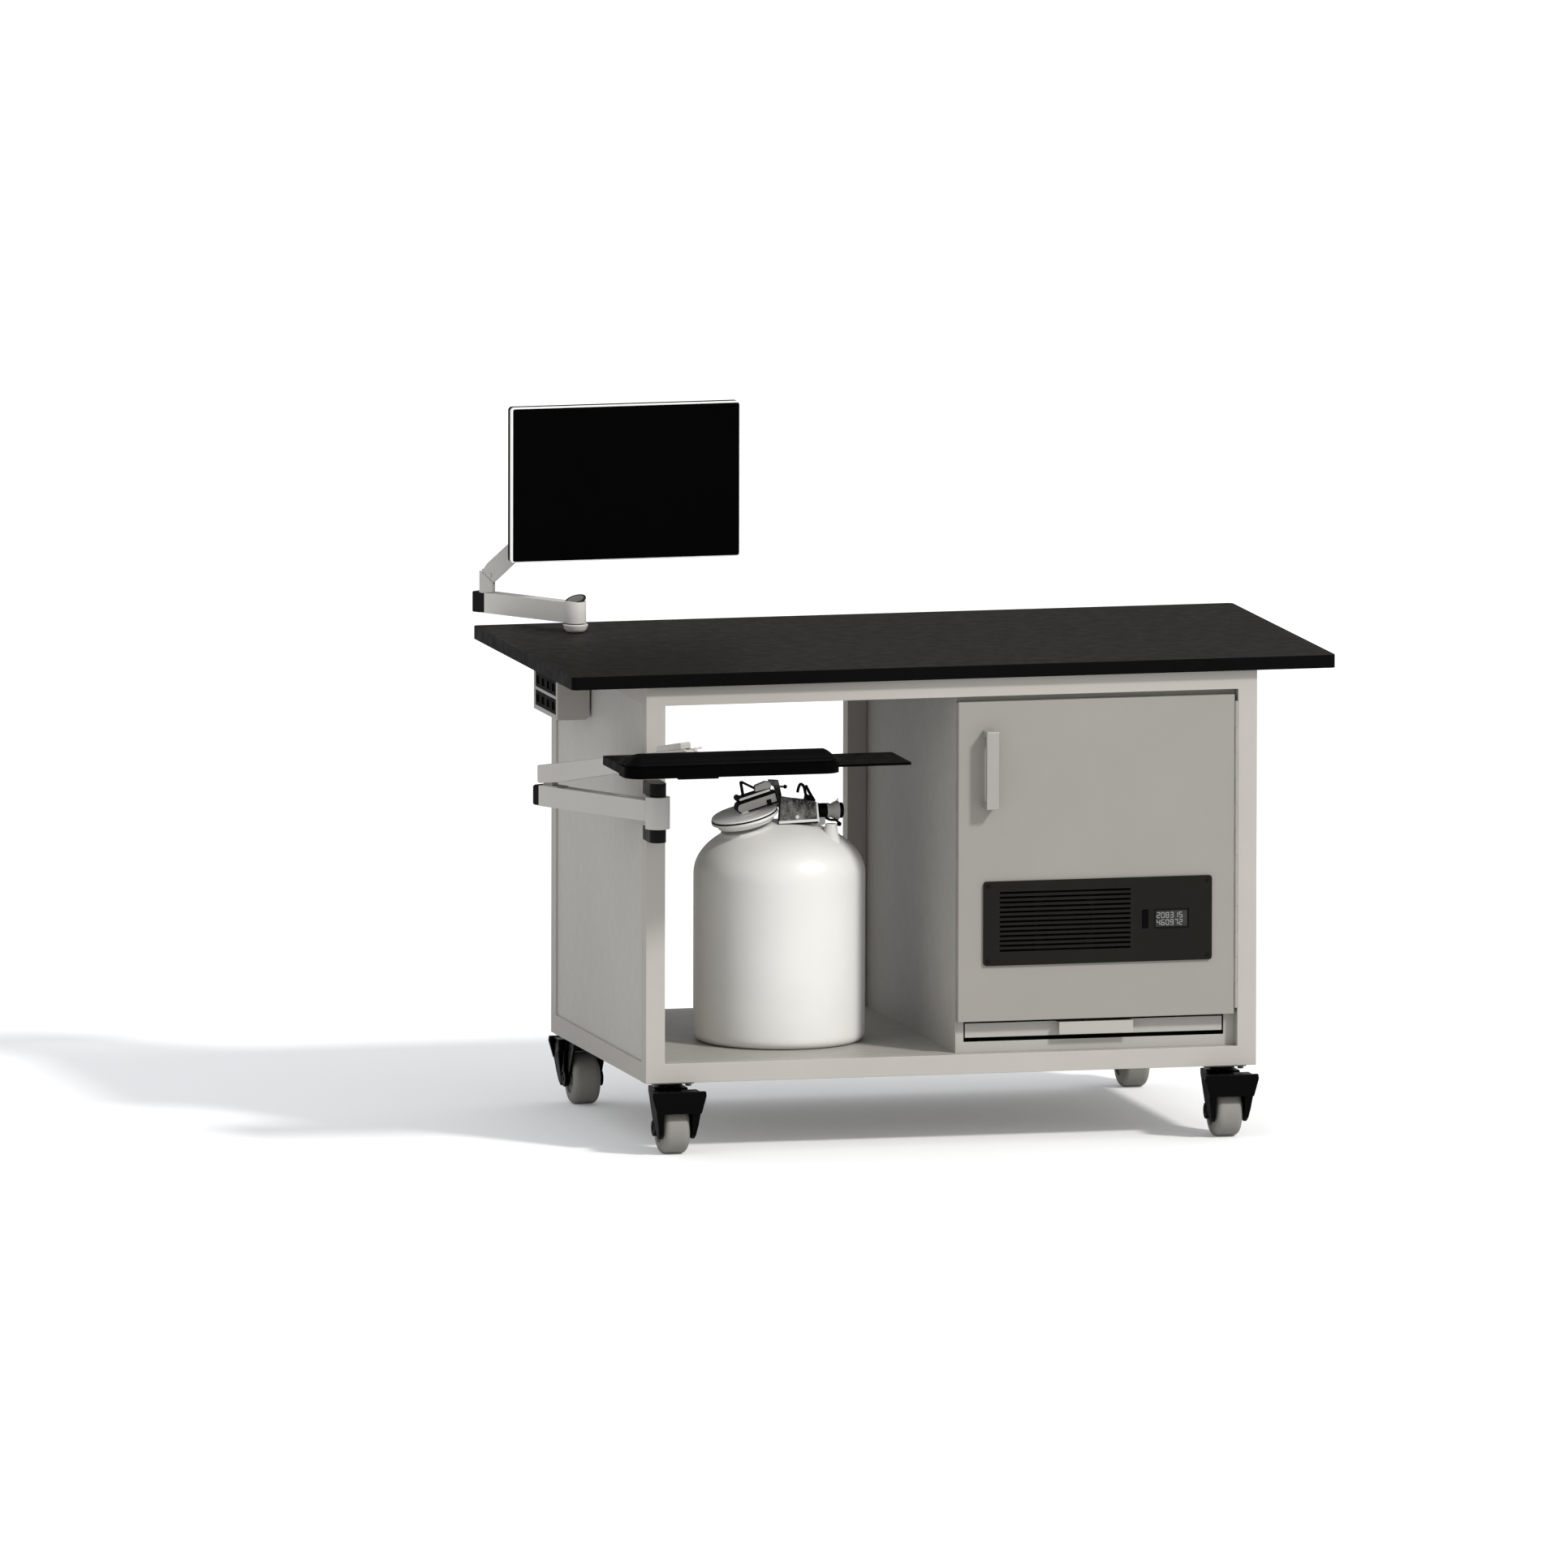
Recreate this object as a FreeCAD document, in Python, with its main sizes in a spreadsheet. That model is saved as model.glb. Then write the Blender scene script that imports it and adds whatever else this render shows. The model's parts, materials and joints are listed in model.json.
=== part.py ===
import FreeCAD, Part
import os
import re
import Sketcher
from FreeCAD import Placement, Rotation, Vector

# Mass spectrometer bench on casters: a welded tube frame under a dark worktop, an open bay with a
# waste can, a sound-lined pump cabinet with a ventilated door and a pull-out tray, and two side arms,
# one for a screen and one for a keyboard.
# Millimetres. The origin is on the floor under the middle of the frame: X right, Y to the back, Z up.

SIZES = {
    # Worktop
    "WorktopSideLap": 152.4,
    "WorktopFrontLap": 19.05,
    "WorktopThickness": 25.4,
    "WorktopCornerRadius": 10.0,
    # Tube frame
    "FrameWidth": 1219.2,
    "FrameDepth": 774.7,
    "FrameHeight": 774.7,
    "CasterHeight": 139.7,
    "TubeSize": 38.1,
    "TubeWall": 2.0,
    "DeckThickness": 2.0,
    "PanelInset": 4.0,
    "PanelThickness": 1.5,
    # Pump cabinet
    "CabinetWidth": 558.3,
    "CabinetSheet": 1.5,
    "WallFrontSetback": 22.0,
    "BackInset": 3.0,
    "PortRadius": 45.0,
    "PortInset": 131.5,
    "PortRise": 520.0,
    "FrontSetback": 24.0,
    "FrontStileLeft": 16.8,
    "FrontStileRight": 22.0,
    "FrontSill": 21.2,
    "FrontHead": 25.0,
    "FoamThickness": 14.0,
    "FoamRise": 68.0,
    "FoamMargin": 5.0,
    # Door
    "DoorThickness": 20.0,
    "DoorSkin": 1.5,
    "DoorRise": 63.2,
    "DoorTopGap": 10.8,
    "HingeGap": 6.6,
    "HingeKnuckleRadius": 3.0,
    "HingePinRadius": 1.6,
    "HingePlate": 1.2,
    "HingeWingWidth": 14.0,
    "HingeLeafWidth": 20.0,
    "HingeMargin": 12.0,
    "HingePitch": 50.0,
    "HingeSlack": 0.4,
    "LinerInset": 12.0,
    "LinerThickness": 12.0,
    "HandleInset": 48.2,
    "HandleWidth": 24.0,
    "HandleLength": 152.0,
    "HandleStandoff": 34.0,
    "HandleBar": 9.0,
    "HandleLeg": 12.0,
    "HandleDrop": 55.0,
    # Fan and display panel in the door
    "VentWidth": 456.3,
    "VentHeight": 164.6,
    "VentThickness": 5.0,
    "VentInset": 49.4,
    "VentRise": 108.9,
    "VentLap": 16.0,
    "VentCornerRadius": 6.0,
    "VentScrewInset": 9.0,
    "VentScrewRadius": 3.6,
    "VentScrewHead": 1.4,
    "LouverLeft": 32.2,
    "LouverBottom": 27.1,
    "LouverLength": 261.3,
    "LouverSlot": 4.2,
    "LouverPitch": 9.4,
    "LouverCount": 13,
    "FanSize": 119.0,
    "FanDepth": 25.0,
    "FanBoreRadius": 56.5,
    "FanHubRadius": 20.0,
    "FanBladeTip": 53.5,
    "FanBladeCount": 7,
    "FanBladePitch": 35.0,
    "FanBladeChord": 13.0,
    "FanBladeThickness": 1.6,
    "FanShaftRadius": 2.5,
    "FanStrut": 6.0,
    "FanStatorDepth": 7.0,
    "WindowLeft": 340.4,
    "WindowBottom": 63.1,
    "WindowWidth": 69.8,
    "WindowHeight": 38.6,
    "WindowRecess": 1.2,
    "DisplayDepth": 18.0,
    "DisplayFlange": 5.0,
    "RockerLeft": 317.3,
    "RockerBottom": 64.7,
    "RockerWidth": 11.7,
    "RockerHeight": 36.1,
    "RockerDepth": 7.0,
    "RockerClearance": 0.3,
    "RockerEndGap": 1.4,
    "RockerPinRadius": 1.2,
    "RockerPinLength": 3.0,
    # Pull-out pump tray
    "TrayClearance": 3.0,
    "TrayLift": 8.0,
    "TrayWall": 28.0,
    "TraySheet": 2.0,
    "TrayDepth": 600.0,
    "TrayPullWidth": 148.0,
    "TrayPullHeight": 24.0,
    "TrayPullReach": 22.0,
    "RunnerWidth": 20.0,
    "RunnerLength": 680.0,
    "RunnerInset": 10.0,
    "SlideGap": 0.3,
    # Outlet box on the left side
    "OutletDepth": 64.0,
    "OutletStart": 74.5,
    "OutletLength": 195.5,
    "OutletHeight": 122.0,
    "OutletSheet": 2.0,
    "OutletRound": 11.0,
    "SocketLength": 166.0,
    "SocketHeight": 30.0,
    "SocketGap": 6.0,
    "SocketDrop": 47.0,
    "SocketDepth": 24.0,
    "SocketHoleLength": 24.0,
    "SocketHoleHeight": 15.0,
    "SocketHoleDepth": 3.0,
    "SocketCount": 4,
    # Casters
    "CasterInset": 58.0,
    "CasterPlateSize": 84.0,
    "CasterPlateThickness": 4.0,
    "CasterBoltSpacing": 66.0,
    "CasterBoltRadius": 6.0,
    "CasterBoltHead": 5.0,
    "KingpinRadius": 7.0,
    "KingpinNutRadius": 11.0,
    "KingpinNutHeight": 5.0,
    "CrownThickness": 5.0,
    "RaceRadius": 28.0,
    "RaceHeight": 9.0,
    "RaceGap": 0.7,
    "WheelRadius": 50.0,
    "WheelWidth": 53.0,
    "WheelTreadRound": 12.0,
    "WheelHubRadius": 28.0,
    "WheelHubRecess": 4.0,
    "CasterTrail": 35.0,
    "AxleRadius": 5.0,
    "ForkGap": 2.5,
    "ForkThickness": 4.0,
    "ForkFoot": 15.0,
    "ForkCrownFront": 24.0,
    "ForkCrownBack": 27.0,
    "CoverGap": 0.6,
    "CoverThickness": 5.0,
    "CoverBossRadius": 16.0,
    "HoodClearance": 3.5,
    "HoodThickness": 4.0,
    "HoodStart": 104.0,
    "HoodSweep": 46.0,
    "CoverStart": 84.0,
    "CoverSweep": 70.0,
    "PedalWidth": 104.0,
    "PedalDepth": 22.0,
    "PedalHeight": 16.0,
    "PedalBack": 62.0,
    "PedalLow": 104.5,
    # Screen arm
    "ArmBaseInset": 170.0,
    "ArmBaseBack": 143.4,
    "ArmBaseFootRadius": 17.0,
    "ArmBaseTopRadius": 23.5,
    "ArmBaseHeight": 18.0,
    "SpotFaceRadius": 26.0,
    "SpotFaceDepth": 0.8,
    "ArmStudRadius": 5.0,
    "ArmStudLength": 15.0,
    "ArmPostRadius": 10.0,
    "ArmKnuckleRadius": 21.0,
    "ArmKnuckleRise": 2.0,
    "ArmCapRadius": 19.0,
    "ArmCapHeight": 5.0,
    "ArmLinkLength": 225.0,
    "ArmLinkHeading": 123.55,
    "ArmLinkWidth": 30.0,
    "ArmLinkHeight": 40.0,
    "ArmLinkTail": 13.0,
    "ArmEndCap": 18.0,
    "ArmPinRadius": 8.0,
    "ArmPinFloor": 6.0,
    "ArmPivotRise": 35.0,
    "ArmRiserWidth": 30.0,
    "ArmCheekRadius": 18.0,
    "ArmEyeRadius": 13.0,
    "ArmTongueRadius": 12.0,
    "ArmTongueWidth": 15.0,
    "ArmPivotRadius": 4.0,
    "ArmLiftHeading": -23.07,
    "ArmLiftPitch": 43.9,
    "ArmLiftLength": 246.5,
    "ArmLiftWidth": 30.0,
    "ArmHeadReach": 33.0,
    "ArmHeadBarrel": 13.0,
    "ArmHeadHeight": 28.0,
    "ArmHeadPin": 6.0,
    "YokePlate": 7.0,
    "YokeSide": 37.1,
    "YokeForward": 14.6,
    "TiltRise": 22.3,
    "TiltBarrelRadius": 10.0,
    "TiltBarrelLength": 40.0,
    "TiltPinRadius": 4.0,
    "TiltEar": 5.0,
    "TiltEarRadius": 8.0,
    "VesaSize": 118.0,
    "VesaThickness": 4.0,
    "VesaStandoff": 25.0,
    "MonitorYaw": 0.9,
    "MonitorWidth": 461.0,
    "MonitorHeight": 304.0,
    "MonitorDepth": 32.0,
    "MonitorCornerRadius": 7.0,
    "BezelWidth": 2.0,
    "ScreenThickness": 2.5,
    # Keyboard arm
    "KbPostInset": 9.6,
    "KbPostForward": 52.65,
    "KbPostRadius": 16.5,
    "KbPinRadius": 9.0,
    "KbKnuckleRadius": 24.0,
    "KbKnuckleHeight": 62.0,
    "KbKnuckleRise": 645.0,
    "KbBlockHeight": 26.5,
    "KbLinkLength": 305.0,
    "KbLinkHeading": 119.0,
    "KbLinkWidth": 30.0,
    "KbLinkHeight": 40.0,
    "KbLinkTail": 18.0,
    "KbEndCap": 18.0,
    "KbPivotRise": 24.5,
    "KbCheekRadius": 18.5,
    "KbHeadCheekRadius": 14.0,
    "KbLiftHeading": -60.97,
    "KbLiftPitch": 10.38,
    "KbLiftLength": 400.0,
    "KbHeadPostRadius": 9.0,
    "KbHeadDrop": 36.0,
    "KbHeadFlange": 3.5,
    "KbCollarRadius": 18.0,
    "KbCollarHeight": 11.0,
    "KbTiltForward": 73.0,
    "KbTiltDrop": 19.0,
    "KbTiltBarrelRadius": 6.0,
    "KbTiltBarrelLength": 80.0,
    "KbTiltPinRadius": 3.0,
    "KbMountPlate": 4.0,
    "KbMountWidth": 160.0,
    "KbMountDepth": 90.0,
    "KbTrayDrop": 8.0,
    "KbTrayLeft": 179.0,
    "KbTrayWidth": 427.0,
    "KbTrayDepth": 208.0,
    "KbTrayGap": 25.0,
    "KbTrayThickness": 16.7,
    "KbTrayLip": 4.0,
    "KbTrayLipDepth": 70.0,
    "KbTrayFrontRadius": 34.0,
    "KbTrayBackRadius": 8.0,
    "PalmRestDepth": 62.0,
    "PalmRestHeight": 25.0,
    "PalmRestEdge": 14.0,
    "PalmRestMargin": 4.0,
    "MousePlate": 5.0,
    "MouseDepth": 158.0,
    "MouseReach": 144.0,
    "MouseInside": 120.0,
    "MouseTravel": 140.0,
    "MouseRise": 5.0,
    "MouseBackGap": 24.0,
    "LeverHubRadius": 6.5,
    "LeverHubWidth": 4.0,
    "LeverRodRadius": 2.2,
    "LeverRodLength": 14.0,
    "LeverRise": 13.0,
    # Waste can
    "CanX": -271.5,
    "CanY": -94.0,
    "CanRadius": 167.0,
    "CanWall": 4.0,
    "CanShoulder": 327.0,
    "CanDome": 103.0,
    "CanFootRound": 17.0,
    "NeckX": -74.0,
    "NeckY": -16.0,
    "NeckTop": 444.0,
    "NeckLeanLeft": 13.2,
    "NeckLeanFront": 4.8,
    "NeckRadius": 56.0,
    "NeckBore": 50.0,
    "NeckLength": 60.0,
    "NeckLipRadius": 66.0,
    "NeckLip": 6.0,
    "LidThickness": 4.0,
    "LidRadius": 64.0,
    "LidGap": 0.3,
    "LidLeverLength": 78.0,
    "LidLeverWidth": 26.0,
    "LidLeverThickness": 18.0,
    "LidLeverRise": 2.0,
    "LidLeverBack": 16.0,
    "LidPostRadius": 8.0,
    "LidKnobRadius": 14.0,
    "LidKnobHeight": 12.0,
    "LidKnobReach": 46.0,
    "LidHingeReach": 70.0,
    "LidHingeSide": 6.0,
    "LidHingeRise": 3.0,
    "LidBarrelRadius": 4.0,
    "LidBarrelLength": 20.0,
    "LidPinRadius": 2.0,
    "LidEar": 3.5,
    "LidEarReach": 20.0,
    "LidEarHeight": 10.0,
    "LugX": 96.0,
    "LugRadius": 11.0,
    "LugTop": 421.0,
    "BoxLeft": 0.0,
    "BoxLength": 76.0,
    "BoxDepth": 46.0,
    "BoxHeight": 42.0,
    "BoxSheet": 2.0,
    "HookRadius": 2.5,
    "HookHeight": 30.0,
    "FittingRadius": 16.0,
    "FittingLength": 36.0,
    # Shared fits
    "RunningGap": 0.05,
    "CurvedGap": 0.3,
    "SeatGap": 0.3,
}

doc = FreeCAD.newDocument("SpectrometerBench")
sheet = doc.addObject("Spreadsheet::Sheet", "Sizes")
for row, (alias, number) in enumerate(SIZES.items(), 1):
    sheet.set(f"A{row}", alias)
    sheet.set(f"B{row}", str(number))
    sheet.setAlias(f"B{row}", alias)
reader = doc.addObject("App::FeaturePython", "Reader")
doc.recompute()
nodes = []

# Places that many pieces share, as expressions on the sheet
HALF_WIDTH = "(FrameWidth / 2)"
HALF_DEPTH = "(FrameDepth / 2)"
FRONT = "(-FrameDepth / 2)"
LEG_X = "(FrameWidth / 2 - TubeSize)"
LEG_Y = "(FrameDepth / 2 - TubeSize)"
FRAME_TOP = "(CasterHeight + FrameHeight)"
DECK_TOP = "(CasterHeight + TubeSize)"
RAIL_UNDER = "(CasterHeight + FrameHeight - TubeSize)"
BAY_HEIGHT = "(FrameHeight - 2 * TubeSize)"
WORK_TOP = "(CasterHeight + FrameHeight + WorktopThickness)"
WORK_LENGTH = "(FrameWidth + 2 * WorktopSideLap)"
WORK_DEPTH = "(FrameDepth + 2 * WorktopFrontLap)"
WALL_X = f"({LEG_X} - CabinetWidth)"
CABINET_LEFT = f"({WALL_X} + CabinetSheet)"


def ex(text):
    """An expression with every size name pointed at the sheet."""
    return re.sub(r"[A-Z][A-Za-z]+", lambda m: f"Sizes.{m[0]}" if m[0] in SIZES else m[0], str(text))


def value(text):
    return float(reader.evalExpression(ex(text)))


def bind(piece, **sizes):
    for name, text in sizes.items():
        piece.setExpression(name, ex(text))
    return piece


def put(piece, x=0, y=0, z=0):
    """Sets where a piece lies, bound to the sheet."""
    for axis, text in zip("xyz", (x, y, z)):
        piece.setExpression(f"Placement.Base.{axis}", ex(text))
    return piece


def box(length, width, height, x=0, y=0, z=0):
    piece = doc.addObject("Part::Box", "Block")
    return put(bind(piece, Length=length, Width=width, Height=height), x, y, z)


def centred(length, width, height, x=0, y=0, z=0):
    """A block centred on x and y, standing on z."""
    return box(length, width, height, f"{x} - ({length}) / 2", f"{y} - ({width}) / 2", z)


AXIS_TURNS = {
    "x": Rotation(Vector(0, 1, 0), 90),
    "y": Rotation(Vector(1, 0, 0), -90),
    "z": Rotation(),
}


def rod(axis, radius, length, x=0, y=0, z=0):
    """A round bar that starts at a point and runs along an axis."""
    piece = doc.addObject("Part::Cylinder", "Rod")
    piece.Placement = Placement(Vector(), AXIS_TURNS[axis])
    return put(bind(piece, Radius=radius, Height=length), x, y, z)


def cross_rod(radius, length, x=0, z=0):
    """A round bar across a link, centred on its middle plane."""
    return rod("y", radius, length, x, f"-({length}) / 2", z)


def cone(bottom, top, height, x=0, y=0, z=0):
    piece = doc.addObject("Part::Cone", "Cone")
    return put(bind(piece, Radius1=bottom, Radius2=top, Height=height), x, y, z)


def dome(rise, radius, z):
    """The upper half of an ellipsoid."""
    piece = doc.addObject("Part::Ellipsoid", "Dome")
    bind(piece, Radius1=rise, Radius2=radius, Radius3=radius)
    piece.Angle1 = 0
    return put(piece, 0, 0, z)


def sector(radius, length, start, sweep, x, y, z):
    """A pie slice about an axis along X, its start angle counted from +Y towards +Z."""
    piece = doc.addObject("Part::Cylinder", "Slice")
    along_x = Rotation(Vector(0, 1, 0), Vector(0, 0, 1), Vector(1, 0, 0), "ZXY")
    piece.Placement = Placement(Vector(), Rotation(Vector(1, 0, 0), value(start)) * along_x)
    return put(bind(piece, Radius=radius, Height=length, Angle=sweep), x, y, z)


def fuse(*parts):
    piece = doc.addObject("Part::MultiFuse", "Joined")
    piece.Shapes = list(parts)
    piece.Refine = True
    return piece


def cut(base, *tools):
    piece = doc.addObject("Part::Cut", "Trimmed")
    piece.Base = base
    piece.Tool = tools[0] if len(tools) == 1 else fuse(*tools)
    return piece


def common(first, second):
    piece = doc.addObject("Part::Common", "Shared")
    piece.Base = first
    piece.Tool = second
    return piece


def group(*parts):
    """Separate solids that share one node."""
    piece = doc.addObject("Part::Compound", "Group")
    piece.Links = list(parts)
    return piece


def along(axis):
    """A test for the straight edges that run along one axis."""
    def test(edge):
        if edge.Curve.TypeId != "Part::GeomLine":
            return False
        return abs(getattr(edge.tangentAt(edge.FirstParameter), axis)) > 0.999
    return test


def rounded(base, radius, keep):
    """Rounds the edges that pass a test."""
    doc.recompute()
    piece = doc.addObject("Part::Fillet", "Rounded")
    piece.Base = base
    size = value(radius)
    piece.Edges = [(i, size, size) for i, edge in enumerate(base.Shape.Edges, 1) if keep(edge)]
    return piece


def node(label, piece, x=0, y=0, z=0, turn=0, pitch=0):
    """Names a sub-part and places it: pitched up about its own Y, then turned about Z."""
    if piece.TypeId == "Part::Box":
        piece = group(piece)
    piece.Label = label
    spin = Rotation(Vector(0, 0, 1), value(turn)) * Rotation(Vector(0, 1, 0), -value(pitch))
    piece.Placement = Placement(Vector(), spin)
    put(piece, x, y, z)
    nodes.append(piece)
    return piece


def sketch_on(body, role):
    plane = next(p for p in body.Origin.OriginFeatures if p.Role == role)
    sketch = body.newObject("Sketcher::SketchObject", "Outline")
    sketch.AttachmentSupport = [(plane, "")]
    sketch.MapMode = "FlatFace"
    return sketch


def rectangle(sketch, left, bottom, width, height):
    """A rectangle in the sketch's positive quarter, its corner and sides bound to the sheet."""
    first = sketch.GeometryCount
    x, y, w, h = (value(text) for text in (left, bottom, width, height))
    corners = [Vector(x, y), Vector(x + w, y), Vector(x + w, y + h), Vector(x, y + h)]
    for i in range(4):
        sketch.addGeometry(Part.LineSegment(corners[i], corners[(i + 1) % 4]))
    for i in range(4):
        sketch.addConstraint(Sketcher.Constraint("Coincident", first + i, 2, first + (i + 1) % 4, 1))
        level = "Horizontal" if i % 2 == 0 else "Vertical"
        sketch.addConstraint(Sketcher.Constraint(level, first + i))
    sides = [("DistanceX", first, 1, first, 2, w, width), ("DistanceY", first + 1, 1, first + 1, 2, h, height)]
    offsets = [("DistanceX", -1, 1, first, 1, x, left), ("DistanceY", -1, 1, first, 1, y, bottom)]
    if x == 0 and y == 0:
        sketch.addConstraint(Sketcher.Constraint("Coincident", first, 1, -1, 1))
        offsets = []
    for kind, a, pa, b, pb, size, text in sides + offsets:
        index = sketch.addConstraint(Sketcher.Constraint(kind, a, pa, b, pb, size))
        sketch.setExpression(f"Constraints[{index}]", ex(text))


def pad(body, sketch, length):
    feature = body.newObject("PartDesign::Pad", "Pad")
    feature.Profile = sketch
    return bind(feature, Length=length)


def pocket_through(body, sketch):
    feature = body.newObject("PartDesign::Pocket", "Pocket")
    feature.Profile = sketch
    feature.Type = "ThroughAll"
    feature.Midplane = True
    return feature


# Welded tube frame

def tube(axis, length, x, y, z):
    """A square hollow tube whose low corner is at x, y, z."""
    inner = "(TubeSize - 2 * TubeWall)"
    outside = [length if a == axis else "TubeSize" for a in "xyz"]
    hollow = [length if a == axis else inner for a in "xyz"]
    corner = [text if a == axis else f"{text} + TubeWall" for a, text in zip("xyz", (x, y, z))]
    return cut(box(*outside, x, y, z), box(*hollow, *corner))


def make_frame():
    legs = []
    for x in (f"-{HALF_WIDTH}", LEG_X):
        for y in (f"-{HALF_DEPTH}", LEG_Y):
            legs.append(tube("z", "FrameHeight", x, y, "CasterHeight"))
    legs.append(tube("z", BAY_HEIGHT, f"{WALL_X} - TubeSize", LEG_Y, DECK_TOP))
    node("frame_legs", group(*legs))
    rails = []
    for z in ("CasterHeight", RAIL_UNDER):
        for y in (f"-{HALF_DEPTH}", LEG_Y):
            rails.append(tube("x", "(FrameWidth - 2 * TubeSize)", f"-{LEG_X}", y, z))
        for x in (f"-{HALF_WIDTH}", LEG_X):
            rails.append(tube("y", "(FrameDepth - 2 * TubeSize)", x, f"-{LEG_Y}", z))
    node("frame_rails", group(*rails))
    deck = box(f"2 * {LEG_X}", f"2 * {LEG_Y}", "DeckThickness",
               f"-{LEG_X}", f"-{LEG_Y}", f"{DECK_TOP} - DeckThickness")
    node("deck_shelf", deck)
    panels = []
    for x in (f"-{HALF_WIDTH} + PanelInset", f"{HALF_WIDTH} - PanelInset - PanelThickness"):
        panels.append(box("PanelThickness", f"2 * {LEG_Y}", BAY_HEIGHT, x, f"-{LEG_Y}", DECK_TOP))
    node("side_panels", group(*panels))


# Worktop with the spot face and blind hole that take the screen arm's base

def make_worktop():
    body = doc.addObject("PartDesign::Body", "Worktop")
    outline = sketch_on(body, "XY_Plane")
    rectangle(outline, 0, 0, WORK_LENGTH, WORK_DEPTH)
    slab = pad(body, outline, "WorktopThickness")
    doc.recompute()
    corners = body.newObject("PartDesign::Fillet", "Corners")
    test = along("z")
    edges = [f"Edge{i}" for i, edge in enumerate(slab.Shape.Edges, 1) if test(edge)]
    corners.Base = (slab, edges)
    bind(corners, Radius="WorktopCornerRadius")
    doc.recompute()
    arm_x = "ArmBaseInset"
    arm_y = f"{WORK_DEPTH} - ArmBaseBack"
    spot = rod("z", "SpotFaceRadius", "SpotFaceDepth", arm_x, arm_y, "WorktopThickness - SpotFaceDepth")
    stud = "(ArmStudLength + SeatGap)"
    hole = rod("z", "ArmStudRadius", stud, arm_x, arm_y, f"WorktopThickness - SpotFaceDepth - {stud}")
    node("worktop", cut(body, spot, hole), f"-{WORK_LENGTH} / 2", f"-{WORK_DEPTH} / 2", FRAME_TOP)


# Pump cabinet: wall, back, front frame, sound lining

RING_FRONT = f"({FRONT} + FrontSetback)"
OPEN_LEFT = f"({WALL_X} + FrontStileLeft)"
OPEN_RIGHT = f"({LEG_X} - FrontStileRight)"
SILL_TOP = f"({DECK_TOP} + FrontSill)"
BACK_Y = f"({HALF_DEPTH} - BackInset - CabinetSheet)"
PORT_X = f"({LEG_X} - PortInset)"
PORT_Z = f"({DECK_TOP} + PortRise)"


def make_cabinet():
    wall_front = f"({FRONT} + WallFrontSetback)"
    wall = box("CabinetSheet", f"{HALF_DEPTH} - {wall_front}", BAY_HEIGHT, WALL_X, wall_front, DECK_TOP)
    node("cabinet_wall", wall)
    back = box(f"{LEG_X} - {CABINET_LEFT}", "CabinetSheet", BAY_HEIGHT, CABINET_LEFT, BACK_Y, DECK_TOP)
    node("cabinet_back", cut(back, rod("y", "PortRadius", "CabinetSheet", PORT_X, BACK_Y, PORT_Z)))
    ring = box(f"{LEG_X} - {CABINET_LEFT}", "CabinetSheet", BAY_HEIGHT, CABINET_LEFT, RING_FRONT, DECK_TOP)
    mouth = box(f"{OPEN_RIGHT} - {OPEN_LEFT}", "CabinetSheet", f"{BAY_HEIGHT} - FrontSill - FrontHead",
                OPEN_LEFT, RING_FRONT, SILL_TOP)
    node("cabinet_front_frame", cut(ring, mouth))
    make_lining()


def make_lining():
    low = f"({DECK_TOP} + FoamRise)"
    height = f"({BAY_HEIGHT} - FoamRise - FoamMargin)"
    back_face = f"({BACK_Y} - FoamThickness)"
    start = f"({RING_FRONT} + CabinetSheet + FoamMargin)"
    left = box("FoamThickness", f"{back_face} - SeatGap - {start}", height, CABINET_LEFT, start, low)
    right_x = f"{HALF_WIDTH} - PanelInset - PanelThickness - FoamThickness"
    right = box("FoamThickness", f"2 * ({LEG_Y} - SeatGap)", height, right_x, f"SeatGap - {LEG_Y}", low)
    back = box(f"{LEG_X} - {CABINET_LEFT} - SeatGap", "FoamThickness", height, CABINET_LEFT, back_face, low)
    port = rod("y", "PortRadius + FoamMargin", "FoamThickness", PORT_X, back_face, PORT_Z)
    node("acoustic_lining", group(left, right, cut(back, port)))


# Door with its piano hinge, pull handle, and fan and display panel

DOOR_RIGHT = f"({LEG_X} - HingeGap)"
DOOR_LOW = f"({DECK_TOP} + DoorRise)"
DOOR_HEIGHT = f"({BAY_HEIGHT} - DoorRise - DoorTopGap)"
DOOR_WIDTH = f"({DOOR_RIGHT} - {WALL_X})"
HINGE_X = f"({LEG_X} - HingeGap / 2)"
VENT_X = f"({WALL_X} + VentInset)"
VENT_Z = f"({DOOR_LOW} + VentRise)"
FAN_X = f"({VENT_X} + LouverLeft + LouverLength / 2)"
FAN_Z = f"({VENT_Z} + LouverBottom + (LouverPitch * (LouverCount - 1) + LouverSlot) / 2)"


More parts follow.
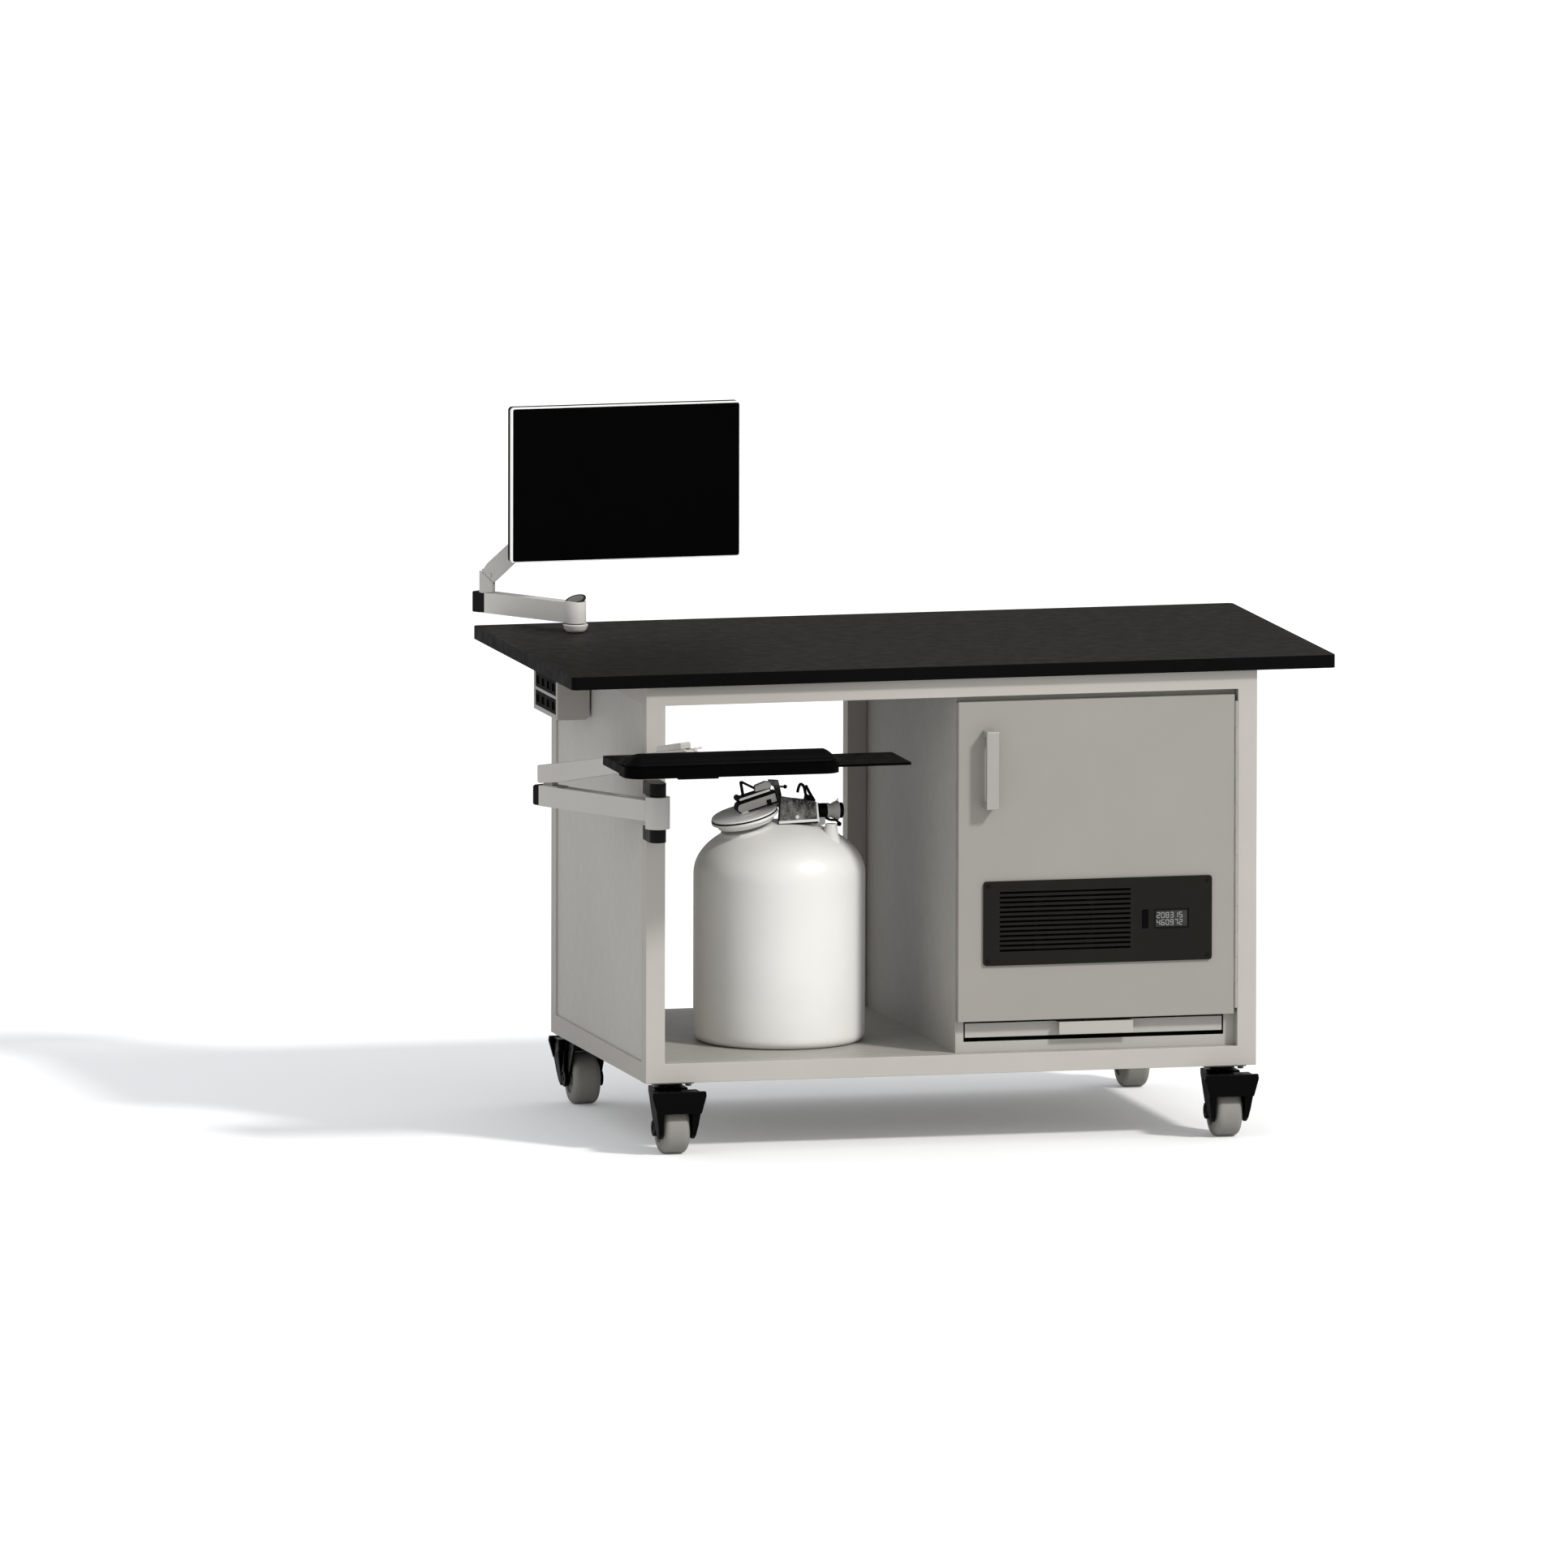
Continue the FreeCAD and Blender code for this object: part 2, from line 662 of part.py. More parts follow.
def make_door():
    pan = box(DOOR_WIDTH, "DoorThickness", DOOR_HEIGHT, WALL_X, FRONT, DOOR_LOW)
    inside = box(f"{DOOR_WIDTH} - 2 * DoorSkin", "DoorThickness - DoorSkin", f"{DOOR_HEIGHT} - 2 * DoorSkin",
                 f"{WALL_X} + DoorSkin", f"{FRONT} + DoorSkin", f"{DOOR_LOW} + DoorSkin")
    vent_hole = box("VentWidth - 2 * VentLap", "DoorSkin", "VentHeight - 2 * VentLap",
                    f"{VENT_X} + VentLap", FRONT, f"{VENT_Z} + VentLap")
    node("door_panel", cut(pan, inside, vent_hole))
    liner_y = f"({FRONT} + DoorSkin)"
    liner = box(f"{DOOR_WIDTH} - 2 * LinerInset", "LinerThickness", f"{DOOR_HEIGHT} - 2 * LinerInset",
                f"{WALL_X} + LinerInset", liner_y, f"{DOOR_LOW} + LinerInset")
    gap = box("VentWidth", "LinerThickness", "VentHeight", VENT_X, liner_y, VENT_Z)
    node("door_liner", cut(liner, gap))
    handle = box("HandleWidth", "HandleStandoff", "HandleLength")
    grip_gap = box("HandleWidth", "HandleStandoff - HandleBar", "HandleLength - 2 * HandleLeg",
                   0, "HandleBar", "HandleLeg")
    node("door_handle", cut(handle, grip_gap), f"{WALL_X} + HandleInset", f"{FRONT} - HandleStandoff",
         f"{DOOR_LOW} + {DOOR_HEIGHT} - HandleDrop - HandleLength")
    make_hinge()
    make_vent()
    make_fan()


def make_hinge():
    """Alternate knuckles on a pin: the even ones belong to the leg, the odd ones to the door."""
    count = int(value(f"{DOOR_HEIGHT} - 2 * HingeMargin") / value("HingePitch"))
    length = f"(HingePitch * {count})"
    start = f"({DOOR_LOW} + HingeMargin)"
    tail = f"({FRONT} + HingeKnuckleRadius + CurvedGap)"
    leg_plate = box("HingePlate", "HingeLeafWidth", length, f"{LEG_X} - HingePlate", tail, start)
    door_plate = box("HingePlate", "HingeWingWidth", length, DOOR_RIGHT, tail, start)
    leaf, wing = [leg_plate], [door_plate]
    for i in range(count):
        z = f"({start} + HingePitch * {i} + HingeSlack / 2)"
        high = "(HingePitch - HingeSlack)"
        barrel = rod("z", "HingeKnuckleRadius", high, HINGE_X, FRONT, z)
        side = f"{LEG_X} - HingePlate" if i % 2 == 0 else DOOR_RIGHT
        tab = box("HingePlate", "HingeKnuckleRadius + CurvedGap + HingePlate", high, side, FRONT, z)
        (leaf if i % 2 == 0 else wing).extend((barrel, tab))
    pin = rod("z", "HingePinRadius", length, HINGE_X, FRONT, start)
    leg_bore = rod("z", "HingePinRadius", length, HINGE_X, FRONT, start)
    door_bore = rod("z", "HingePinRadius + RunningGap", length, HINGE_X, FRONT, start)
    node("door_hinge_leaf", group(cut(fuse(*leaf), leg_bore), pin))
    node("door_hinge_wing", cut(fuse(*wing), door_bore))


def make_vent():
    body = doc.addObject("PartDesign::Body", "VentPlate")
    outline = sketch_on(body, "XZ_Plane")
    rectangle(outline, 0, 0, "VentWidth", "VentHeight")
    plate = pad(body, outline, "VentThickness")
    doc.recompute()
    corners = body.newObject("PartDesign::Fillet", "Corners")
    test = along("y")
    corners.Base = (plate, [f"Edge{i}" for i, edge in enumerate(plate.Shape.Edges, 1) if test(edge)])
    bind(corners, Radius="VentCornerRadius")
    windows = sketch_on(body, "XZ_Plane")
    rectangle(windows, "WindowLeft", "WindowBottom", "WindowWidth", "WindowHeight")
    rectangle(windows, "RockerLeft", "RockerBottom", "RockerWidth", "RockerHeight")
    pocket_through(body, windows)
    slot = sketch_on(body, "XZ_Plane")
    rectangle(slot, "LouverLeft", "LouverBottom", "LouverLength", "LouverSlot")
    first = pocket_through(body, slot)
    louvers = body.newObject("PartDesign::LinearPattern", "Louvers")
    louvers.Originals = [first]
    louvers.Direction = (slot, ["V_Axis"])
    bind(louvers, Length="LouverPitch * (LouverCount - 1)", Occurrences="LouverCount")
    body.Tip = louvers
    screws = []
    for x in ("VentScrewInset", "VentWidth - VentScrewInset"):
        for z in ("VentScrewInset", "VentHeight - VentScrewInset"):
            screws.append(rod("y", "VentScrewRadius", "VentScrewHead", x, "-VentThickness - VentScrewHead", z))
    pin_y, pin_z = "-VentThickness / 2", "RockerBottom + RockerHeight / 2"
    pin_hole = rod("x", "RockerPinRadius + RunningGap", "RockerWidth + 2 * RockerPinLength",
                   "RockerLeft - RockerPinLength", pin_y, pin_z)
    node("vent_panel", group(cut(body, pin_hole), *screws), VENT_X, FRONT, VENT_Z)
    wide, high = "(WindowWidth - 2 * CurvedGap)", "(WindowHeight - 2 * CurvedGap)"
    face = box(wide, f"VentThickness - WindowRecess + DisplayDepth", high,
               "WindowLeft + CurvedGap", "WindowRecess - VentThickness", "WindowBottom + CurvedGap")
    flange = box("WindowWidth + 2 * DisplayFlange", "DoorSkin", "WindowHeight + 2 * DisplayFlange",
                 "WindowLeft - DisplayFlange", 0, "WindowBottom - DisplayFlange")
    node("display_module", fuse(face, flange), VENT_X, FRONT, VENT_Z)
    rocker = box("RockerWidth - 2 * RockerClearance", "RockerDepth", "RockerHeight - 2 * RockerEndGap",
                 "RockerLeft + RockerClearance", "-VentThickness - RockerDepth / 2 + DoorSkin",
                 "RockerBottom + RockerEndGap")
    pin = rod("x", "RockerPinRadius", "RockerWidth + 2 * RockerPinLength - 2 * RockerClearance",
              "RockerLeft - RockerPinLength + RockerClearance", pin_y, pin_z)
    node("rocker_switch", fuse(rocker, pin), VENT_X, FRONT, VENT_Z)


def make_fan():
    """The fan's square frame and stator hub, and the bladed rotor on its shaft, along Y."""
    shell = box("FanSize", "FanDepth", "FanSize", "-FanSize / 2", 0, "-FanSize / 2")
    duct = rod("y", "FanBoreRadius", "FanDepth")
    stator_y = "(FanDepth - FanStatorDepth)"
    hub = rod("y", "FanHubRadius", "FanStatorDepth", 0, stator_y)
    level = box("FanSize", "FanStatorDepth", "FanStrut", "-FanSize / 2", stator_y, "-FanStrut / 2")
    upright = box("FanStrut", "FanStatorDepth", "FanSize", "-FanStrut / 2", stator_y, "-FanSize / 2")
    shaft_start = "(FanStatorDepth / 2)"
    shaft = rod("y", "FanShaftRadius", f"{stator_y} - {shaft_start}", 0, shaft_start)
    node("fan_frame", fuse(cut(shell, duct), hub, level, upright, shaft), FAN_X, FRONT, FAN_Z)
    rotor_depth = f"({stator_y} - {shaft_start} - SeatGap)"
    parts = [rod("y", "FanHubRadius - 1", rotor_depth, 0, shaft_start)]
    for i in range(int(value("FanBladeCount"))):
        blade = doc.addObject("Part::Box", "Blade")
        reach = "(FanBladeTip - FanHubRadius / 2)"
        bind(blade, Length=reach, Width="FanBladeThickness", Height="FanBladeChord")
        about = Rotation(Vector(0, 1, 0), 360.0 * i / value("FanBladeCount"))
        lean = Rotation(Vector(1, 0, 0), 90 - value("FanBladePitch"))
        centre = Vector(value("FanHubRadius / 2"), 0, 0)
        inner = Vector(0, -value("FanBladeThickness / 2"), -value("FanBladeChord / 2"))
        turn = about * lean
        middle = Vector(0, value(f"{shaft_start} + {rotor_depth} / 2"), 0)
        blade.Placement = Placement(middle + about.multVec(centre) + turn.multVec(inner), turn)
        parts.append(blade)
    bore = rod("y", "FanShaftRadius + RunningGap", "FanDepth")
    node("fan_rotor", cut(fuse(*parts), bore), FAN_X, FRONT, FAN_Z)


# Pull-out pump tray on its runners

TRAY_LEFT = f"({OPEN_LEFT} + TrayClearance)"
TRAY_WIDTH = f"({OPEN_RIGHT} - {OPEN_LEFT} - 2 * TrayClearance)"
TRAY_FLOOR = f"({SILL_TOP} + TrayLift)"


def make_tray():
    shell = box(TRAY_WIDTH, "TrayDepth", "TrayWall", TRAY_LEFT, RING_FRONT, TRAY_FLOOR)
    inside = box(f"{TRAY_WIDTH} - 2 * TraySheet", "TrayDepth - 2 * TraySheet", "TrayWall - TraySheet",
                 f"{TRAY_LEFT} + TraySheet", f"{RING_FRONT} + TraySheet", f"{TRAY_FLOOR} + TraySheet")
    top = f"({TRAY_FLOOR} + TrayWall)"
    middle = f"({TRAY_LEFT} + {TRAY_WIDTH} / 2)"
    ledge = box("TrayPullWidth", "TrayPullReach", "TraySheet", f"{middle} - TrayPullWidth / 2",
                f"{RING_FRONT} - TrayPullReach", f"{top} - TraySheet")
    lip = box("TrayPullWidth", "TraySheet", "TrayPullHeight", f"{middle} - TrayPullWidth / 2",
              f"{RING_FRONT} - TrayPullReach", f"{top} - TrayPullHeight")
    node("pump_tray", group(cut(shell, inside), fuse(ledge, lip)))
    runners = []
    height = f"({TRAY_FLOOR} - SlideGap - {DECK_TOP})"
    for x in (f"{TRAY_LEFT} + RunnerInset", f"{TRAY_LEFT} + {TRAY_WIDTH} - RunnerInset - RunnerWidth"):
        y = f"{RING_FRONT} + CabinetSheet + FoamMargin"
        bar = box("RunnerWidth", "RunnerLength", height, x, y, DECK_TOP)
        hollow = box("RunnerWidth - 2 * TubeWall", "RunnerLength", f"{height} - 2 * TubeWall",
                     f"{x} + TubeWall", y, f"{DECK_TOP} + TubeWall")
        runners.append(cut(bar, hollow))
    node("tray_runners", group(*runners))


# Power outlet box under the worktop's left overhang

def make_outlets():
    shell = box("OutletDepth", "OutletLength", "OutletHeight")
    low_edges = along("y")
    middle = value("OutletDepth / 2")

    def inner_low(edge):
        return low_edges(edge) and edge.CenterOfMass.x > middle and edge.CenterOfMass.z < middle

    shell = rounded(shell, "OutletRound", inner_low)
    inside = box("OutletDepth - 2 * OutletSheet", "OutletLength - 2 * OutletSheet", "OutletHeight - 2 * OutletSheet",
                 "OutletSheet", "OutletSheet", "OutletSheet")
    inside = rounded(inside, "OutletRound - OutletSheet", inner_low)
    windows, strips = [], []
    side = "((OutletLength - SocketLength) / 2)"
    for i in range(2):
        low = f"(OutletHeight - SocketDrop - SocketHeight - {i} * (SocketHeight + SocketGap))"
        windows.append(box("OutletSheet", "SocketLength", "SocketHeight", 0, side, low))
        face = box("OutletSheet", "SocketLength", "SocketHeight", 0, side, low)
        back = box("SocketDepth", "SocketLength + 2 * OutletSheet", "SocketHeight + 2 * OutletSheet",
                   "OutletSheet", f"{side} - OutletSheet", f"{low} - OutletSheet")
        holes = []
        pitch = "(SocketLength / SocketCount)"
        for k in range(int(value("SocketCount"))):
            y = f"{side} + {pitch} * {k + 0.5} - SocketHoleLength / 2"
            holes.append(box("SocketHoleDepth", "SocketHoleLength", "SocketHoleHeight", 0, y,
                             f"{low} + (SocketHeight - SocketHoleHeight) / 2"))
        strips.append(cut(fuse(face, back), *holes))
    corner = (f"-{HALF_WIDTH} - OutletDepth", "OutletStart", f"{FRAME_TOP} - OutletHeight")
    node("outlet_box", cut(shell, inside, *windows), *corner)
    node("outlet_sockets", group(*strips), *corner)


# Casters, each built about its swivel axis with the wheel trailing towards -Y

AXLE_Y = "(-CasterTrail)"
PLATE_UNDER = "(CasterHeight - CasterPlateThickness)"
RACE_TOP = f"({PLATE_UNDER} - RaceGap)"
CROWN_LOW = f"({RACE_TOP} - RaceHeight - CrownThickness)"
FORK_INNER = "(WheelWidth / 2 + ForkGap)"
FORK_OUTER = "(WheelWidth / 2 + ForkGap + ForkThickness)"
COVER_INNER = f"({FORK_OUTER} + CoverGap)"
COVER_OUTER = f"({FORK_OUTER} + CoverGap + CoverThickness)"
HOOD_INNER = "(WheelRadius + HoodClearance)"
HOOD_OUTER = "(WheelRadius + HoodClearance + HoodThickness)"
CASTERS = {"front_left": (-1, -1), "front_right": (1, -1), "back_left": (-1, 1), "back_right": (1, 1)}


def caster_place(side, end):
    x = f"{side} * ({HALF_WIDTH} - CasterInset)"
    y = f"{end} * ({HALF_DEPTH} - CasterInset)"
    return x, y


def make_caster_plate(x, y):
    plate = centred("CasterPlateSize", "CasterPlateSize", "CasterPlateThickness", x, y, PLATE_UNDER)
    stem = f"({PLATE_UNDER} - {CROWN_LOW} + SeatGap)"
    kingpin = rod("z", "KingpinRadius", stem, x, y, f"{CROWN_LOW} - SeatGap")
    nut = rod("z", "KingpinNutRadius", "KingpinNutHeight", x, y, f"{CROWN_LOW} - SeatGap - KingpinNutHeight")
    bolts = []
    for sx in (-1, 1):
        for sy in (-1, 1):
            bolts.append(rod("z", "CasterBoltRadius", "CasterBoltHead", f"{x} + {sx} * CasterBoltSpacing / 2",
                             f"{y} + {sy} * CasterBoltSpacing / 2", f"{PLATE_UNDER} - CasterBoltHead"))
    return fuse(plate, kingpin, nut, *bolts)


def fork_leg(x):
    """One fork cheek: a tapered plate from the crown down to the axle, standing across X."""
    top = value(f"{CROWN_LOW} + CrownThickness")
    low = value("WheelRadius")
    trail = value("CasterTrail")
    foot = value("ForkFoot")
    points = [
        (value("ForkCrownFront"), top),
        (-value("ForkCrownBack"), top),
        (-trail - foot, low),
        (-trail + foot, low),
        (value("ForkCrownFront"), top - 2 * value("CrownThickness")),
    ]
    wire = Part.makePolygon([Vector(0, y, z) for y, z in points + points[:1]])
    leg = doc.addObject("Part::Feature", "ForkLeg")
    leg.Shape = Part.Face(wire).extrude(Vector(value("ForkThickness"), 0, 0))
    leg.Placement = Placement(Vector(value(x), 0, 0), Rotation())
    return leg


def make_fork():
    crown = box(f"2 * {FORK_OUTER}", "ForkCrownFront + ForkCrownBack", "CrownThickness",
                f"-{FORK_OUTER}", "-ForkCrownBack", CROWN_LOW)
    race = rod("z", "RaceRadius", "RaceHeight", 0, 0, f"{CROWN_LOW} + CrownThickness")
    feet = []
    for x in (FORK_INNER, f"-{FORK_OUTER}"):
        feet.append(fork_leg(x))
        feet.append(rod("x", "ForkFoot", "ForkThickness", x, AXLE_Y, "WheelRadius"))
    axle = rod("x", "AxleRadius", f"2 * {COVER_OUTER}", f"-{COVER_OUTER}", AXLE_Y, "WheelRadius")
    bore = rod("z", "KingpinRadius + RunningGap", "CasterHeight")
    return fuse(cut(fuse(crown, race, *feet), bore), axle)


def make_wheel():
    """Tyre and hub in one turned solid, its axis along X, with a round tread and a dished hub."""
    tyre = rod("x", "WheelRadius", "WheelWidth", "-WheelWidth / 2", AXLE_Y, "WheelRadius")
    tyre = rounded(tyre, "WheelTreadRound", lambda e: e.Curve.TypeId == "Part::GeomCircle")
    dishes = []
    for x in ("-WheelWidth / 2", "WheelWidth / 2 - WheelHubRecess"):
        ring = rod("x", "WheelHubRadius", "WheelHubRecess", x, AXLE_Y, "WheelRadius")
        boss = rod("x", "2 * AxleRadius", "WheelHubRecess", x, AXLE_Y, "WheelRadius")
        dishes.append(cut(ring, boss))
    bore = rod("x", "AxleRadius + RunningGap", "WheelWidth", "-WheelWidth / 2", AXLE_Y, "WheelRadius")
    return cut(tyre, *dishes, bore)


def make_brake():
    """Black hood over the tyre with side covers on the axle and a wide foot pedal."""
    low_x = f"-{COVER_OUTER}"
    wide = f"2 * {COVER_OUTER}"
    hood = cut(sector(HOOD_OUTER, wide, "HoodStart", "HoodSweep", low_x, AXLE_Y, "WheelRadius"),
               sector(HOOD_INNER, wide, "HoodStart", "HoodSweep", low_x, AXLE_Y, "WheelRadius"))
    parts = [hood]
    for x in (low_x, COVER_INNER):
        parts.append(sector(HOOD_OUTER, "CoverThickness", "CoverStart", "CoverSweep", x, AXLE_Y, "WheelRadius"))
        parts.append(rod("x", "CoverBossRadius", "CoverThickness", x, AXLE_Y, "WheelRadius"))
    pedal = box("PedalWidth", "PedalDepth", "PedalHeight", "-PedalWidth / 2", "-PedalBack", "PedalLow")
    parts.append(rounded(pedal, "PedalHeight / 2 - 1", along("x")))
    bore = rod("x", "AxleRadius + RunningGap", wide, low_x, AXLE_Y, "WheelRadius")
    return cut(fuse(*parts), bore)


def make_casters():
    plates = []
    for name, (side, end) in CASTERS.items():
        x, y = caster_place(side, end)
        plates.append(make_caster_plate(x, y))
        turn = 0 if end < 0 else 180
        node(f"caster_fork_{name}", make_fork(), x, y, 0, turn)
        node(f"caster_wheel_{name}", make_wheel(), x, y, 0, turn)
        node(f"caster_brake_{name}", make_brake(), x, y, 0, turn)
    node("caster_plates", group(*plates))


# Screen arm: each link is built along its own X

ARM_LOW = f"({WORK_TOP} + ArmBaseHeight + SeatGap)"
ARM_HIGH = f"({WORK_TOP} + ArmBaseHeight + SeatGap + ArmLinkHeight)"
ARM_KNUCKLE_TOP = f"({ARM_HIGH} + ArmKnuckleRise)"
ARM_BASE = (f"(ArmBaseInset - {WORK_LENGTH} / 2)", f"({WORK_DEPTH} / 2 - ArmBaseBack)")
ELBOW = (f"{ARM_BASE[0]} + ArmLinkLength * cos(ArmLinkHeading)",
         f"{ARM_BASE[1]} + ArmLinkLength * sin(ArmLinkHeading)")
ARM_PIVOT_Z = f"({ARM_HIGH} + ArmPivotRise)"
ARM_RUN = "(ArmLiftLength * cos(ArmLiftPitch))"
HEAD = (f"{ELBOW[0]} + {ARM_RUN} * cos(ArmLiftHeading)", f"{ELBOW[1]} + {ARM_RUN} * sin(ArmLiftHeading)")
HEAD_Z = f"({ARM_PIVOT_Z} + ArmLiftLength * sin(ArmLiftPitch))"
SWIVEL = (f"{HEAD[0]} + ArmHeadReach * cos(ArmLiftHeading)", f"{HEAD[1]} + ArmHeadReach * sin(ArmLiftHeading)")
TILT = (f"{SWIVEL[0]} + YokeSide * cos(MonitorYaw) + YokeForward * sin(MonitorYaw)",
        f"{SWIVEL[1]} + YokeSide * sin(MonitorYaw) - YokeForward * cos(MonitorYaw)")
TILT_Z = f"({HEAD_Z} + TiltRise)"


def make_arm_base():
    seat = f"({WORK_TOP} - SpotFaceDepth)"
    cup = cone("ArmBaseFootRadius", "ArmBaseTopRadius", "ArmBaseHeight + SpotFaceDepth", 0, 0, seat)
    post = rod("z", "ArmPostRadius", f"{ARM_KNUCKLE_TOP} - SeatGap - {seat}", 0, 0, seat)
    stud = rod("z", "ArmStudRadius", "ArmStudLength", 0, 0, f"{seat} - ArmStudLength")
    node("arm_base", fuse(cup, post, stud), *ARM_BASE)


def make_lower_link(length, width, height, tail, low, knuckle, post, cap_length):
    """A level box link: a round knuckle on its post, and a blind hole near its far end for the elbow pin."""
    bar = box(f"{length} + {tail}", width, height, 0, f"-{width} / 2", low)
    knuckle_radius, knuckle_low, knuckle_height = knuckle
    barrel = rod("z", knuckle_radius, knuckle_height, 0, 0, knuckle_low)
    bore = rod("z", f"{post} + RunningGap", knuckle_height, 0, 0, knuckle_low)
    pin_hole = rod("z", "ArmPinRadius + RunningGap", f"{height} - ArmPinFloor", length, 0, f"{low} + ArmPinFloor")
    end = box(cap_length, width, height, f"{length} + {tail}", f"-{width} / 2", low)
    return cut(fuse(bar, barrel), bore, pin_hole), end


def make_elbow(top, height, pivot_rise, riser_height=None):
    """A pin down into the lower link, a tongue that carries the lift pivot, and a short riser if there is room."""
    pin = rod("z", "ArmPinRadius", f"{height} - ArmPinFloor - SeatGap", 0, 0, f"{top} - {height} + ArmPinFloor + SeatGap")
    flange = f"({top} + SeatGap)"
    neck = rod("z", "ArmPinRadius", "SeatGap", 0, 0, top)
    tongue = centred("2 * ArmTongueRadius", "ArmTongueWidth", f"{pivot_rise} - SeatGap", 0, 0, flange)
    eye = cross_rod("ArmTongueRadius", "ArmTongueWidth", 0, f"{top} + {pivot_rise}")
    pivot = cross_rod("ArmPivotRadius", "ArmRiserWidth", 0, f"{top} + {pivot_rise}")
    parts = [pin, neck, tongue, eye, pivot]
    if riser_height:
        parts.append(centred("2 * ArmTongueRadius", "ArmRiserWidth", riser_height, 0, 0, flange))
    return fuse(*parts)


def make_lift_link(length, width, start_half, end_half, eye, tail):
    """A tapered bar, square at its start, with a slot for the tongue at each end; its lower pivot is the origin."""
    bar = doc.addObject("Part::Wedge", "Taper")
    bind(bar, Ymin=f"-{tail}", Ymax=length, Xmin=f"-{width} / 2", Xmax=f"{width} / 2", X2min=f"-{width} / 2",
         X2max=f"{width} / 2", Zmin=f"-{start_half}", Zmax=start_half, Z2min=f"-{end_half}", Z2max=end_half)
    bar.Placement = Placement(Vector(), Rotation(Vector(0, 0, 1), -90))
    eyes = [cross_rod(eye, width), cross_rod(end_half, width, length)]
    slot = "(ArmTongueWidth + 2 * CurvedGap)"
    start_slot = box(f"{tail} + {eye} + {start_half} + SeatGap", slot, f"3 * {start_half}",
                     f"-{tail} - {eye} - SeatGap", f"-{slot} / 2", f"-1.5 * {start_half}")
    end_slot = box(f"2 * {end_half} + SeatGap", slot, f"3 * {end_half}",
                   f"{length} - {end_half}", f"-{slot} / 2", f"-1.5 * {end_half}")
    holes = [cross_rod("ArmPivotRadius + RunningGap", width, x) for x in (0, length)]
    return cut(fuse(bar, *eyes), start_slot, end_slot, *holes)


def make_screen_arm():
    make_arm_base()
    knuckle = ("ArmKnuckleRadius", ARM_LOW, "(ArmLinkHeight + ArmKnuckleRise)")
    link, end = make_lower_link("ArmLinkLength", "ArmLinkWidth", "ArmLinkHeight", "ArmLinkTail", ARM_LOW, knuckle,
                                "ArmPostRadius", "ArmEndCap")
    place = (*ARM_BASE, 0, "ArmLinkHeading")
    node("arm_lower_link", link, *place)
    lid = rod("z", "ArmCapRadius", "ArmCapHeight", 0, 0, ARM_KNUCKLE_TOP)
    node("arm_link_caps", group(lid, end), *place)
    riser = "(ArmPivotRise - ArmCheekRadius - 3 * SeatGap)"
    node("arm_elbow", make_elbow(ARM_HIGH, "ArmLinkHeight", "ArmPivotRise", riser), *ELBOW, 0, "ArmLiftHeading")
    lift = make_lift_link("ArmLiftLength", "ArmLiftWidth", "ArmCheekRadius", "ArmCheekRadius", "ArmEyeRadius", "SeatGap")
    node("arm_lift_link", lift, *ELBOW, ARM_PIVOT_Z, "ArmLiftHeading", "ArmLiftPitch")
    eye = cross_rod("ArmTongueRadius", "ArmTongueWidth")
    pivot = cross_rod("ArmPivotRadius", "ArmLiftWidth")
    neck = box("ArmHeadReach", "ArmTongueWidth", "ArmTongueRadius", 0, "-ArmTongueWidth / 2", "-ArmTongueRadius / 2")
    barrel = rod("z", "ArmHeadBarrel", "ArmHeadHeight", "ArmHeadReach", 0, "-ArmHeadHeight / 2")
    bore = rod("z", "ArmHeadPin + RunningGap", "ArmHeadHeight", "ArmHeadReach", 0, "-ArmHeadHeight / 2")
    node("arm_head", cut(fuse(eye, pivot, neck, barrel), bore), *HEAD, HEAD_Z, "ArmLiftHeading")
    make_yoke()
    make_monitor()


def make_yoke():
    """A swivel plate on the head's barrel that carries the tilt barrel in front of it."""
    low = "(ArmHeadHeight / 2 + SeatGap)"
    pin = rod("z", "ArmHeadPin", f"ArmHeadHeight + SeatGap", 0, 0, "-ArmHeadHeight / 2")
    back = "(ArmHeadBarrel - 2 * ArmHeadPin - TiltEarRadius / 2)"
    plate = box("YokeSide + ArmHeadBarrel + TiltBarrelRadius", f"ArmHeadBarrel - {back} + 0", "YokePlate",
                "-ArmHeadBarrel", back, low)
    web = box("2 * TiltBarrelRadius", f"YokeForward + ArmHeadBarrel", "YokePlate",
              "YokeSide - TiltBarrelRadius", "-YokeForward", low)
    barrel = rod("x", "TiltBarrelRadius", "TiltBarrelLength", "YokeSide - TiltBarrelLength / 2",
                 "-YokeForward", "TiltRise")
    bore = rod("x", "TiltPinRadius + RunningGap", "TiltBarrelLength", "YokeSide - TiltBarrelLength / 2",
               "-YokeForward", "TiltRise")
    node("vesa_yoke", cut(fuse(pin, plate, web, barrel), bore), *SWIVEL, HEAD_Z, "MonitorYaw")


